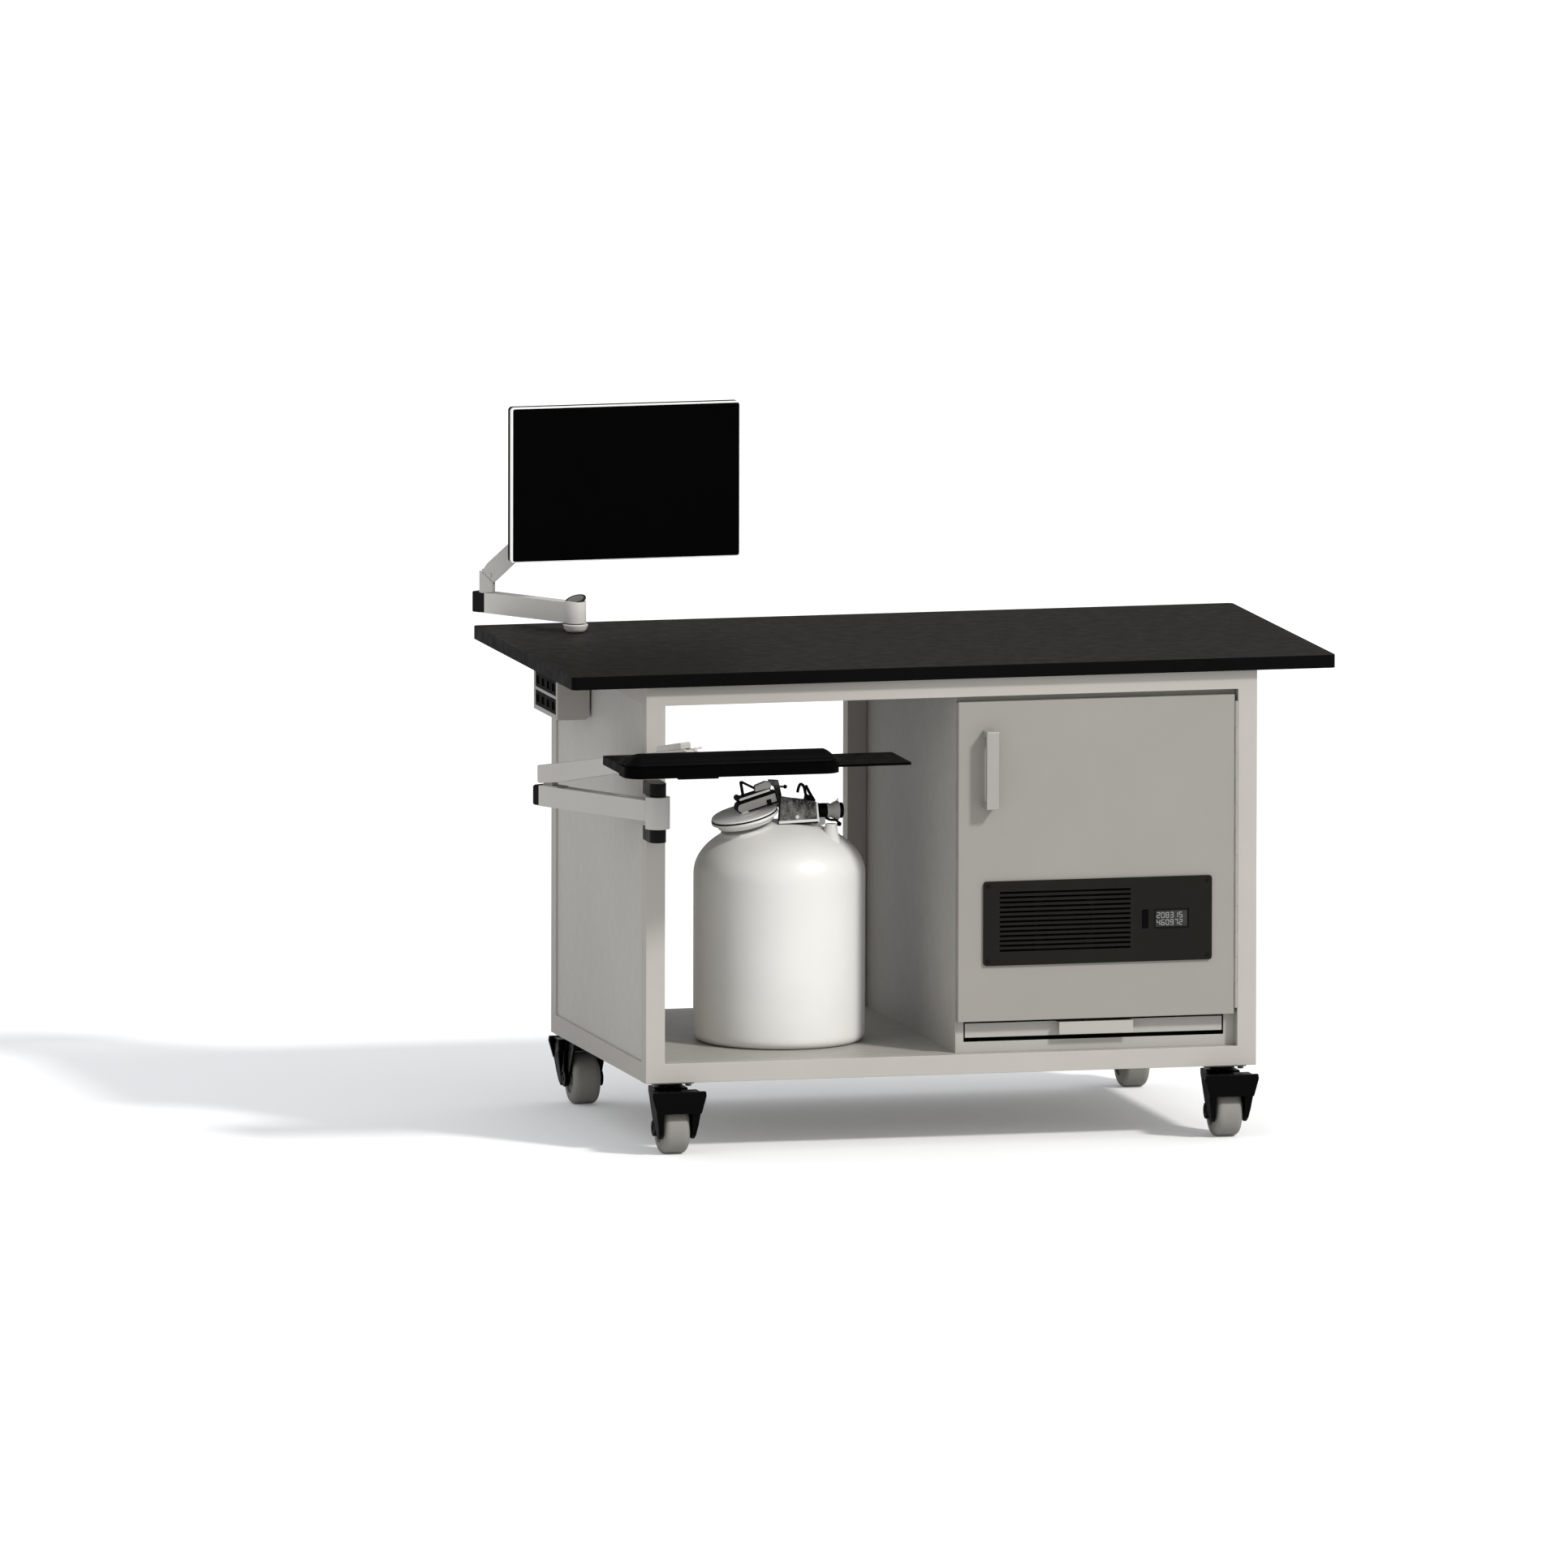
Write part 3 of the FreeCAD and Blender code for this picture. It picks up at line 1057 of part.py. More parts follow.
def make_monitor():
    """Mounting plate with tilt ears, and the screen, built about the tilt axis."""
    plate_y = "(-VesaStandoff)"
    parts = [box("VesaSize", "VesaThickness", "VesaSize", "-VesaSize / 2", plate_y, "-VesaSize / 2")]
    ear_start = "(TiltBarrelLength / 2 + CurvedGap)"
    for x in (ear_start, f"-{ear_start} - TiltEar"):
        parts.append(rod("x", "TiltEarRadius", "TiltEar", x))
        parts.append(box("TiltEar", "VesaStandoff", "2 * TiltEarRadius", x, plate_y, "-TiltEarRadius"))
    parts.append(rod("x", "TiltPinRadius", f"2 * ({ear_start} + TiltEar)", f"-{ear_start} - TiltEar"))
    place = (*TILT, TILT_Z, "MonitorYaw")
    node("vesa_plate", fuse(*parts), *place)
    back_y = f"({plate_y} - MonitorDepth)"
    case = box("MonitorWidth", "MonitorDepth", "MonitorHeight", "-MonitorWidth / 2", back_y, "-MonitorHeight / 2")
    case = rounded(case, "MonitorCornerRadius", along("y"))
    glass = ("MonitorWidth - 2 * BezelWidth", "ScreenThickness", "MonitorHeight - 2 * BezelWidth",
             "BezelWidth - MonitorWidth / 2", back_y, "BezelWidth - MonitorHeight / 2")
    node("monitor_housing", cut(case, box(*glass)), *place)
    node("monitor_screen", box(*glass), *place)


# Keyboard arm on the front left leg

KB_POST = (f"(KbPostInset - {HALF_WIDTH})", f"({FRONT} - KbPostForward)")
KB_LINK_LOW = "(KbKnuckleRise + (KbKnuckleHeight - KbLinkHeight) / 2 + SeatGap * 10)"
KB_LINK_HIGH = f"({KB_LINK_LOW} + KbLinkHeight)"
KB_ELBOW = (f"{KB_POST[0]} + KbLinkLength * cos(KbLinkHeading)", f"{KB_POST[1]} + KbLinkLength * sin(KbLinkHeading)")
KB_PIVOT_Z = f"({KB_LINK_HIGH} + KbPivotRise)"
KB_RUN = "(KbLiftLength * cos(KbLiftPitch))"
KB_HEAD = (f"{KB_ELBOW[0]} + {KB_RUN} * cos(KbLiftHeading)", f"{KB_ELBOW[1]} + {KB_RUN} * sin(KbLiftHeading)")
KB_HEAD_Z = f"({KB_PIVOT_Z} + KbLiftLength * sin(KbLiftPitch))"


def make_keyboard_arm():
    post_x, post_y = KB_POST
    blocks = []
    gap_low = "(KbKnuckleRise - SeatGap)"
    gap_high = "(KbKnuckleRise + KbKnuckleHeight + SeatGap)"
    for z in (f"{gap_low} - KbBlockHeight", gap_high):
        blocks.append(rod("z", "KbPostRadius", "KbBlockHeight", post_x, post_y, z))
        blocks.append(box("2 * KbPostRadius", "KbPostForward", "KbBlockHeight", f"{post_x} - KbPostRadius", post_y, z))
    pin = rod("z", "KbPinRadius", f"{gap_high} - {gap_low}", post_x, post_y, gap_low)
    node("kb_arm_bracket", fuse(*blocks, pin))
    knuckle = ("KbKnuckleRadius", "KbKnuckleRise", "KbKnuckleHeight")
    link, end = make_lower_link("KbLinkLength", "KbLinkWidth", "KbLinkHeight", "KbLinkTail", KB_LINK_LOW, knuckle,
                                "KbPinRadius", "KbEndCap")
    place = (post_x, post_y, 0, "KbLinkHeading")
    node("kb_lower_link", link, *place)
    node("kb_link_cap", end, *place)
    node("kb_elbow", make_elbow(KB_LINK_HIGH, "KbLinkHeight", "KbPivotRise"), *KB_ELBOW, 0, "KbLiftHeading")
    lift = make_lift_link("KbLiftLength", "KbLinkWidth", "KbCheekRadius", "KbHeadCheekRadius", "ArmEyeRadius",
                          "KbLinkTail")
    node("kb_lift_link", lift, *KB_ELBOW, KB_PIVOT_Z, "KbLiftHeading", "KbLiftPitch")
    make_keyboard_head()
    make_keyboard_tray()


COLLAR_LOW = "(KbHeadFlange + CurvedGap - KbHeadDrop - KbHeadFlange)"
COLLAR_TOP = f"({COLLAR_LOW} + KbCollarHeight)"


def make_keyboard_head():
    """The levelled head at the lift link's end, its swivel post, and the release lever on its pivot."""
    tip = "(KbHeadCheekRadius - 2)"
    eye = cross_rod(tip, "ArmTongueWidth")
    neck = centred(f"{tip} + 2", "ArmTongueWidth", "KbHeadDrop - KbCollarHeight", 0, 0, f"{COLLAR_TOP} + CurvedGap")
    post = rod("z", "KbHeadPostRadius", "KbCollarHeight + 3 * CurvedGap", 0, 0, f"{COLLAR_LOW} - CurvedGap")
    flange = rod("z", "KbHeadPostRadius + KbHeadFlange", "KbHeadFlange", 0, 0, f"{COLLAR_LOW} - CurvedGap - KbHeadFlange")
    lever_end = "(KbLinkWidth / 2 + CurvedGap + LeverHubWidth)"
    pivot = rod("y", "ArmPivotRadius", f"KbLinkWidth / 2 + {lever_end}", 0, "-KbLinkWidth / 2")
    place = (*KB_HEAD, KB_HEAD_Z, "KbLiftHeading")
    node("kb_head", fuse(eye, neck, post, flange, pivot), *place)
    start = "(KbLinkWidth / 2 + CurvedGap)"
    hub = rod("y", "LeverHubRadius", "LeverHubWidth", 0, start)
    arm = box("2 * LeverRodRadius", "LeverHubWidth", "LeverRise", "-LeverRodRadius", start)
    grip = rod("y", "LeverRodRadius", "LeverHubWidth + LeverRodLength", 0, start, "LeverRise")
    bore = rod("y", "ArmPivotRadius + RunningGap", "LeverHubWidth", 0, start)
    node("release_lever", cut(fuse(hub, arm, grip), bore), *place)


def make_keyboard_tray():
    """Swivel bracket, tilting tray, palm rest and sliding mouse plate, built about the head's swivel axis."""
    place = (*KB_HEAD, KB_HEAD_Z)
    tilt_y, tilt_z = "(-KbTiltForward)", "(-KbTiltDrop)"
    half = "(KbTiltBarrelLength / 2)"
    collar = rod("z", "KbCollarRadius", "KbCollarHeight", 0, 0, COLLAR_LOW)
    tongue = box("2 * KbCollarRadius", "KbTiltForward", "KbCollarHeight - 3", "-KbCollarRadius", tilt_y, COLLAR_LOW)
    web = box("KbTiltBarrelLength", "2 * KbTiltBarrelRadius", f"{tilt_z} - {COLLAR_LOW}", f"-{half}",
              f"{tilt_y} - KbTiltBarrelRadius", COLLAR_LOW)
    barrel = rod("x", "KbTiltBarrelRadius", "KbTiltBarrelLength", f"-{half}", tilt_y, tilt_z)
    post_bore = rod("z", "KbHeadPostRadius + RunningGap", "KbCollarHeight", 0, 0, COLLAR_LOW)
    tilt_bore = rod("x", "KbTiltPinRadius + RunningGap", "KbTiltBarrelLength", f"-{half}", tilt_y, tilt_z)
    node("tray_bracket", cut(fuse(collar, tongue, web, barrel), post_bore, tilt_bore), *place)

    low = "(-KbTrayDrop)"
    front = "(-KbTrayGap - KbTrayDepth)"
    board = box("KbTrayWidth", "KbTrayDepth", "KbTrayThickness + KbTrayLip", "-KbTrayLeft", front,
                f"{low} - KbTrayLip")
    upright = along("z")
    middle = value("-KbTrayGap - KbTrayDepth / 2")
    board = rounded(board, "KbTrayFrontRadius", lambda e: upright(e) and e.CenterOfMass.y < middle)
    board = rounded(board, "KbTrayBackRadius", lambda e: upright(e) and e.CenterOfMass.y > middle + 1
                    and e.Length > 1 and abs(e.CenterOfMass.y - value("-KbTrayGap")) < 0.01)
    under = box("KbTrayWidth", "KbTrayDepth - KbTrayLipDepth", "KbTrayLip", "-KbTrayLeft",
                f"{front} + KbTrayLipDepth", f"{low} - KbTrayLip")
    right = "(KbTrayWidth - KbTrayLeft)"
    mouse_low = f"({low} + MouseRise)"
    mouse_back = "(-KbTrayGap - MouseBackGap)"
    slot_length = "(MouseInside + MouseTravel + SlideGap)"
    slot = box(slot_length, "MouseDepth + 2 * SlideGap", "MousePlate + 2 * SlideGap", f"{right} - {slot_length}",
               f"{mouse_back} - MouseDepth - SlideGap", f"{mouse_low} - SlideGap")
    plate = centred("KbMountWidth", "KbMountDepth", "KbMountPlate", 0, tilt_y, f"{low} - KbMountPlate")
    parts = [plate]
    ear_start = f"({half} + CurvedGap)"
    for x in (ear_start, f"-{ear_start} - TiltEar"):
        parts.append(rod("x", "TiltEarRadius", "TiltEar", x, tilt_y, tilt_z))
        parts.append(box("TiltEar", "2 * TiltEarRadius", f"{low} - KbMountPlate - {tilt_z}", x,
                         f"{tilt_y} - TiltEarRadius", tilt_z))
    parts.append(rod("x", "KbTiltPinRadius", f"2 * ({ear_start} + TiltEar)", f"-{ear_start} - TiltEar", tilt_y, tilt_z))
    node("keyboard_tray", group(cut(board, under, slot), fuse(*parts)), *place)

    top = f"({low} + KbTrayThickness)"
    strip = box("KbTrayWidth - 2 * PalmRestMargin", "PalmRestDepth", "PalmRestHeight",
                "PalmRestMargin - KbTrayLeft", f"{front} + PalmRestMargin", top)
    strip = rounded(strip, "PalmRestDepth / 2 - 2", lambda e: upright(e) and e.CenterOfMass.y < middle - 60)
    half_strip = "(PalmRestDepth / 2)"
    crown = "(PalmRestHeight - PalmRestEdge)"
    radius = f"(({half_strip} * {half_strip} + {crown} * {crown}) / (2 * {crown}))"
    swell = rod("x", radius, "KbTrayWidth", "-KbTrayLeft", f"{front} + PalmRestMargin + {half_strip}",
                f"{top} + PalmRestHeight - {radius}")
    node("palm_rest", common(strip, swell), *place)
    mouse = box("MouseInside + MouseReach", "MouseDepth", "MousePlate", f"{right} - MouseInside",
                f"{mouse_back} - MouseDepth", mouse_low)
    node("mouse_tray", rounded(mouse, "MousePlate", lambda e: upright(e) and e.CenterOfMass.x > value(right)), *place)


# Waste can standing on the deck of the open bay

CAN_Z = f"({DECK_TOP} + SeatGap)"


def neck_frame():
    """The neck's own frame: its top centre, leaned to the left and to the front."""
    lean = Rotation(Vector(0, 1, 0), -value("NeckLeanLeft")) * Rotation(Vector(1, 0, 0), value("NeckLeanFront"))
    return Placement(Vector(value("NeckX"), value("NeckY"), value("NeckTop")), lean)


def leaned(piece, z):
    """Places a piece along the neck's axis, z above the neck's top."""
    piece.Placement = neck_frame().multiply(Placement(Vector(0, 0, value(z)), piece.Placement.Rotation))
    return piece


def on_neck(piece, x, y, z, turn=None):
    """Places a piece at x, y, z in the neck's own frame."""
    piece.Placement = neck_frame().multiply(Placement(Vector(x, y, z), turn or Rotation()))
    return piece


def on_hinge(piece, start):
    """Places an upright piece along the lid's hinge axis, from start."""
    return on_neck(piece, value("LidHingeReach"), value(f"LidHingeSide + {start}"), value("LidHingeRise"),
                   Rotation(Vector(1, 0, 0), -90))


def plain_rod(radius, length):
    piece = doc.addObject("Part::Cylinder", "NeckRod")
    return bind(piece, Radius=radius, Height=length)


def plain_box(length, width, height):
    piece = doc.addObject("Part::Box", "NeckBox")
    return bind(piece, Length=length, Width=width, Height=height)


def make_can():
    foot = rod("z", "CanRadius", "CanShoulder")
    foot = rounded(foot, "CanFootRound", lambda e: e.Curve.TypeId == "Part::GeomCircle" and e.CenterOfMass.z < 1)
    neck = leaned(plain_rod("NeckRadius", "NeckLength"), "-NeckLength")
    lip = leaned(plain_rod("NeckLipRadius", "NeckLip"), "-NeckLip")
    lug = cone("LugRadius + 2.5 * CanWall", "LugRadius", "LugTop - CanShoulder", "LugX", 0, "CanShoulder")
    outer = fuse(foot, dome("CanDome", "CanRadius", "CanShoulder"), neck, lip, lug)
    inner_foot = rod("z", "CanRadius - CanWall", "CanShoulder - CanWall", 0, 0, "CanWall")
    inner_foot = rounded(inner_foot, "CanFootRound - CanWall",
                         lambda e: e.Curve.TypeId == "Part::GeomCircle" and e.CenterOfMass.z < value("CanWall") + 1)
    inner = fuse(inner_foot, dome("CanDome - CanWall", "CanRadius - CanWall", "CanShoulder"))
    mouth = leaned(plain_rod("NeckBore", "NeckLength"), "-NeckLength")
    place = ("CanX", "CanY", CAN_Z)
    node("can_body", cut(outer, inner, mouth), *place)
    make_can_lid(place)
    make_can_bracket(place)


def make_can_lid(place):
    disc = leaned(plain_rod("LidRadius", "LidThickness"), "LidGap")
    post = leaned(plain_rod("LidPostRadius", "LidLeverRise"), "LidGap + LidThickness")
    lever = plain_box("LidLeverLength", "LidLeverWidth", "LidLeverThickness")
    lever = on_neck(rounded(lever, "LidLeverWidth / 2 - 1", along("z")), -value("LidLeverBack"),
                    -value("LidLeverWidth / 2"), value("LidGap + LidThickness + LidLeverRise"))
    lever_top = value("LidGap + LidThickness + LidLeverRise + LidLeverThickness")
    knob = on_neck(plain_rod("LidKnobRadius", "LidKnobHeight"), value("LidKnobReach"), 0, lever_top)
    start = value("LidRadius * 0.8")
    tab = plain_box(f"LidHingeReach - {start}", "LidBarrelLength", "LidHingeRise + LidBarrelRadius / 2")
    tab = on_neck(tab, start, value("LidHingeSide - LidBarrelLength / 2"), value("LidGap"))
    barrel = on_hinge(plain_rod("LidBarrelRadius", "LidBarrelLength"), "-LidBarrelLength / 2")
    bore = on_hinge(plain_rod("LidPinRadius + RunningGap", "2 * LidBarrelLength"), "-LidBarrelLength")
    node("can_lid", cut(fuse(disc, post, lever, knob, tab, barrel), bore), *place)


def make_can_bracket(place):
    """A folded steel box on the dome with two wire hooks and a quick-disconnect fitting."""
    low = "(CanDome + CanShoulder + SeatGap)"
    shell = box("BoxLength", "BoxDepth", "BoxHeight", "BoxLeft", "-BoxDepth / 2", low)
    inside = box("BoxLength", "BoxDepth - 2 * BoxSheet", "BoxHeight - 2 * BoxSheet", "BoxLeft",
                 "BoxSheet - BoxDepth / 2", f"{low} + BoxSheet")
    parts = [cut(shell, inside)]
    for x in ("BoxLeft + BoxLength * 0.5", "BoxLeft + BoxLength * 0.75"):
        parts.append(rod("z", "HookRadius", "HookHeight", x, 0, f"{low} + BoxHeight - BoxSheet"))
        parts.append(rod("x", "HookRadius", "4 * HookRadius", f"{x} - 3 * HookRadius", 0,
                         f"{low} + BoxHeight + HookHeight - HookRadius - BoxSheet"))
    end = box("BoxSheet", "BoxDepth", "BoxHeight", "BoxLeft + BoxLength", "-BoxDepth / 2", low)
    fitting = rod("x", "FittingRadius", "FittingLength", "BoxLeft + BoxLength + BoxSheet", 0, f"{low} + BoxHeight / 2")
    tip = rod("x", "FittingRadius / 2", "FittingLength / 3", "BoxLeft + BoxLength + BoxSheet + FittingLength", 0,
              f"{low} + BoxHeight / 2")
    half = "(LidBarrelLength / 2 + CurvedGap)"
    for side in (half, f"-{half} - LidEar"):
        ear = plain_box("LidEarReach", "LidEar", "LidEarHeight")
        parts.append(on_neck(ear, value("NeckLipRadius + CurvedGap"), value(f"LidHingeSide + {side}"),
                             value("LidHingeRise - LidEarHeight / 2")))
    parts.append(on_hinge(plain_rod("LidPinRadius", f"2 * {half} + 2 * LidEar"), f"-{half} - LidEar"))
    node("can_bracket", fuse(*parts, end, fitting, tip), *place)


make_frame()
make_worktop()
make_cabinet()
make_door()
make_tray()
make_outlets()
make_casters()
make_screen_arm()
make_keyboard_arm()
make_can()
doc.recompute()

faults = [f"{o.Label}: {o.State}" for o in doc.Objects if {"Invalid", "Error"} & set(o.State)]
for piece in nodes:
    if piece.Shape.isNull() or not piece.Shape.isValid():
        faults.append(f"{piece.Label}: bad shape")
if faults:
    raise RuntimeError("; ".join(faults))

os.makedirs("parts", exist_ok=True)
for piece in nodes:
    piece.Shape.exportStep(f"parts/{piece.Label}.step")
print(len(nodes), "sub-parts written")
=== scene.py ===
import json
from math import atan2, cos, hypot, pi, radians, sin
import bmesh
import bpy
from mathutils import Matrix, Vector


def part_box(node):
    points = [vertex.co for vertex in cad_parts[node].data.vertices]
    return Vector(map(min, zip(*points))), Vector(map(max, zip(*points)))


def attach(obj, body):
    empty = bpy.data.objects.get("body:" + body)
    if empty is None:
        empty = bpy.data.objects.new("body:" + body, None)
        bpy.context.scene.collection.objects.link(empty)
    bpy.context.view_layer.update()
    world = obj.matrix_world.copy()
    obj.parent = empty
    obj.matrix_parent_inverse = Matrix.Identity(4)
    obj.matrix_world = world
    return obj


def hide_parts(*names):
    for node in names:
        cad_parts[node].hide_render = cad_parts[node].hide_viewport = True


# Looks for the mass spectrometer bench. The CAD nodes stay where they are and get materials and
# softened edges. The frame's skin, foam, palm rest, screen case, arm covers, caster hoods, can and
# small hardware are modelled here. Lengths are in millimetres unless a name says otherwise, angles
# in degrees, and MM turns millimetres into Blender's metres.

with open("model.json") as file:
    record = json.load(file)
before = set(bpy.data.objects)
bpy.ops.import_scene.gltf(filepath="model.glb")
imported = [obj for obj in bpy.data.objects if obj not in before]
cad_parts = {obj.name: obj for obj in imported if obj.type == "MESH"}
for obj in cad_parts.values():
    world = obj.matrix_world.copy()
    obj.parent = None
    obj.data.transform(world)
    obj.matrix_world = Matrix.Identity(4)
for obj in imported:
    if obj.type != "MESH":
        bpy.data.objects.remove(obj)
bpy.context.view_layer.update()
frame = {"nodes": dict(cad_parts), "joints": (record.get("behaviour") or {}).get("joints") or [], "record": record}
scene = bpy.context.scene
NODES = frame["nodes"]
JOINTS = {j["name"]: j for j in frame["joints"]}
MM = 0.001
CORNERS = ("front_left", "front_right", "back_left", "back_right")


# Materials

def srgb(r, g, b):
    """An sRGB colour, 0 to 255, as linear values."""
    def linear(v):
        v /= 255
        return v / 12.92 if v <= 0.04045 else ((v + 0.055) / 1.055) ** 2.4
    return linear(r), linear(g), linear(b)


class Nodes:
    """Short calls for building a material's node tree."""

    def __init__(self, name):
        self.material = bpy.data.materials.new(name)
        self.material.use_nodes = True
        self.tree = self.material.node_tree
        self.shader = next(n for n in self.tree.nodes if n.type == "BSDF_PRINCIPLED")
        self.place = self.add("ShaderNodeTexCoord").outputs["Object"]

    def add(self, kind, **values):
        """A new node, with some of its inputs set."""
        node = self.tree.nodes.new(kind)
        for key, val in values.items():
            node.inputs[key].default_value = val
        return node

    def link(self, a, b):
        self.tree.links.new(a, b)

    def feed(self, name, value):
        """Sets one of the shader's inputs, from a socket or to a plain value."""
        if isinstance(value, bpy.types.NodeSocket):
            self.link(value, self.shader.inputs[name])
        else:
            self.shader.inputs[name].default_value = value

    def noise(self, scale, detail=3.0, stretch=(1, 1, 1), rough=0.5):
        mapped = self.add("ShaderNodeMapping", Scale=stretch)
        self.link(self.place, mapped.inputs["Vector"])
        node = self.add("ShaderNodeTexNoise", Scale=scale, Detail=detail, Roughness=rough)
        self.link(mapped.outputs["Vector"], node.inputs["Vector"])
        return node.outputs["Fac"]

    def cells(self, scale):
        """Distance from the nearest cell's middle."""
        node = self.add("ShaderNodeTexVoronoi", Scale=scale)
        self.link(self.place, node.inputs["Vector"])
        return node.outputs["Distance"]

    def span(self, value, low, high, start=0.3, end=0.7):
        """Maps values from start to end onto low to high."""
        limits = {"From Min": start, "From Max": end, "To Min": low, "To Max": high}
        node = self.add("ShaderNodeMapRange", **limits)
        self.link(value, node.inputs["Value"])
        return node.outputs["Result"]

    def mix(self, fac, a, b):
        node = self.add("ShaderNodeMix")
        node.data_type = "RGBA"
        self.link(fac, node.inputs["Factor"])
        for key, val in (("A", a), ("B", b)):
            socket = next(s for s in node.inputs if s.name == key and s.type == "RGBA")
            if isinstance(val, tuple):
                socket.default_value = (*val, 1)
            else:
                self.link(val, socket)
        return next(s for s in node.outputs if s.type == "RGBA")

    def bump(self, heights):
        """Chains bump nodes: (height socket, strength, distance in mm)."""
        normal = None
        for height, strength, distance in heights:
            node = self.add("ShaderNodeBump", Strength=strength, Distance=distance * MM)
            self.link(height, node.inputs["Height"])
            if normal is not None:
                self.link(normal, node.inputs["Normal"])
            normal = node.outputs["Normal"]
        self.feed("Normal", normal)


def shade(colour, factor):
    """A colour made darker or lighter, up to white."""
    return tuple(min(1.0, c * factor) for c in colour)


def surface(name, colour, rough=0.5, metal=0.0, vary=0.05, vary_scale=5.0, grain=0.15, grain_scale=700.0,
            rough_vary=0.06, specular=0.5, stretch=(1, 1, 1)):
    """A painted, moulded or metal surface: uneven tone, uneven gloss and a fine grain."""
    n = Nodes(name)
    tone = n.noise(vary_scale, 4.0)
    shown = n.mix(n.span(tone, 0.0, 1.0), shade(colour, 1 - vary), shade(colour, 1 + vary))
    fine = n.noise(grain_scale, 2.0, stretch)
    n.feed("Base Color", shown)
    cloud = n.noise(vary_scale * 7, 3.0, stretch)
    n.feed("Roughness", n.span(cloud, rough - rough_vary, rough + rough_vary))
    n.feed("Metallic", metal)
    n.feed("Specular IOR Level", specular)
    n.bump([(fine, grain, 0.25), (tone, 0.05, 1.0)])
    return n.material


def make_materials():
    painted = {"grain": 0.1, "grain_scale": 520}
    laminate = {"grain": 0.06, "grain_scale": 900, "specular": 0.1}
    matt = {"vary": 0.1, "grain": 0.1, "grain_scale": 1400}
    cast = {"metal": 0.05, "vary": 0.03, "grain": 0.12, "grain_scale": 900}
    m = {
        "paint": surface("bench_paint", srgb(166, 162, 155), 0.46, vary=0.02, **painted),
        "panel": surface("panel_paint", srgb(173, 170, 164), 0.48, vary=0.025, **painted),
        "door": surface("door_paint", srgb(140, 136, 130), 0.46, vary=0.02, **painted),
        "sheet": surface("sheet_paint", srgb(160, 157, 151), 0.5, vary=0.025, **painted),
        # The worktop has two copies of one laminate. The top faces get a lighter, lit copy that paints in the
        # sheen seen on top. All other faces get a near-black, shaded copy as painted shade.
        "top": surface("worktop_laminate", srgb(29, 27, 21), 0.55, vary=0.03, **laminate),
        "edge": surface("worktop_sides_shaded_copy", srgb(3, 3, 3), 0.5, vary=0.1, **laminate),
        "black": surface("black_plastic", srgb(8, 8, 8), 0.42, vary=0.12, grain=0.25, grain_scale=1400,
                         specular=0.25),
        "satin": surface("black_satin", srgb(2, 2, 2), 0.2, specular=0.12, **matt),
        "dark": surface("fan_plastic", srgb(6, 6, 6), 0.6, specular=0.1, **matt),
        "vent": surface("vent_paint", srgb(22, 20, 15), 0.5, vary=0.06, grain=0.25, grain_scale=1100,
                        specular=0.2),
        "silver": surface("arm_silver", srgb(196, 193, 187), 0.42, **cast),
        "cast": surface("arm_cast", srgb(176, 173, 167), 0.44, **cast),
        "brushed": surface("brushed_steel", srgb(164, 162, 157), 0.36, 0.3, vary=0.03, grain=0.06,
                           grain_scale=900, stretch=(1, 20, 20), rough_vary=0.04),
        "zinc": surface("zinc_plate", srgb(140, 139, 134), 0.38, 0.6, vary=0.1, vary_scale=30, grain=0.2,
                        grain_scale=500, rough_vary=0.1),
        "wheel": surface("wheel_tread", srgb(126, 124, 118), 0.6, vary=0.06, vary_scale=18, grain=0.3,
                         grain_scale=800),
        "case": surface("screen_case", srgb(226, 226, 223), 0.4, 0.05, vary=0.02, grain=0.1,
                        grain_scale=1200),
        "glass": surface("screen_face", srgb(2, 2, 2), 0.5, vary=0.2, grain=0.03, grain_scale=3000,
                         specular=0.03),
        "tray": surface("tray_plastic", srgb(3, 3, 3), 0.44, vary=0.12, grain=0.3, grain_scale=1600,
                        specular=0.03),
        "gasket": surface("gasket_rubber", srgb(6, 6, 6), 0.6, vary=0.1, grain=0.2, specular=0.2),
        "lcd": surface("display_glass", srgb(8, 9, 8), 0.25, vary=0.1, grain=0.02, specular=0.25),
        "ink": surface("display_ink", srgb(152, 152, 146), 0.5, vary=0.1, grain=0.05),
    }
    m["can"] = plastic_can()
    m["mottled"] = steel_with_painted_reflection()
    m["foam"] = foam_skin()
    m["leather"] = palm_skin()
    m["segments"] = display_segments()
    return m


def plastic_can():
    """Natural white polyethylene: slightly see-through, with a soft moulded haze."""
    colour = srgb(217, 216, 212)
    n = Nodes("can_polyethylene")
    cloud = n.noise(9, 4.0)
    n.feed("Base Color", n.mix(n.span(cloud, 0.0, 1.0), shade(colour, 0.965), colour))
    n.feed("Roughness", n.span(n.noise(60, 3.0), 0.3, 0.42))
    n.feed("Subsurface Weight", 0.15)
    n.feed("Subsurface Radius", (0.012, 0.011, 0.01))
    n.feed("Subsurface Scale", 0.5)
    n.bump([(n.noise(260, 3.0), 0.12, 0.3), (n.noise(14, 2.0), 0.25, 1.2)])
    return n.material


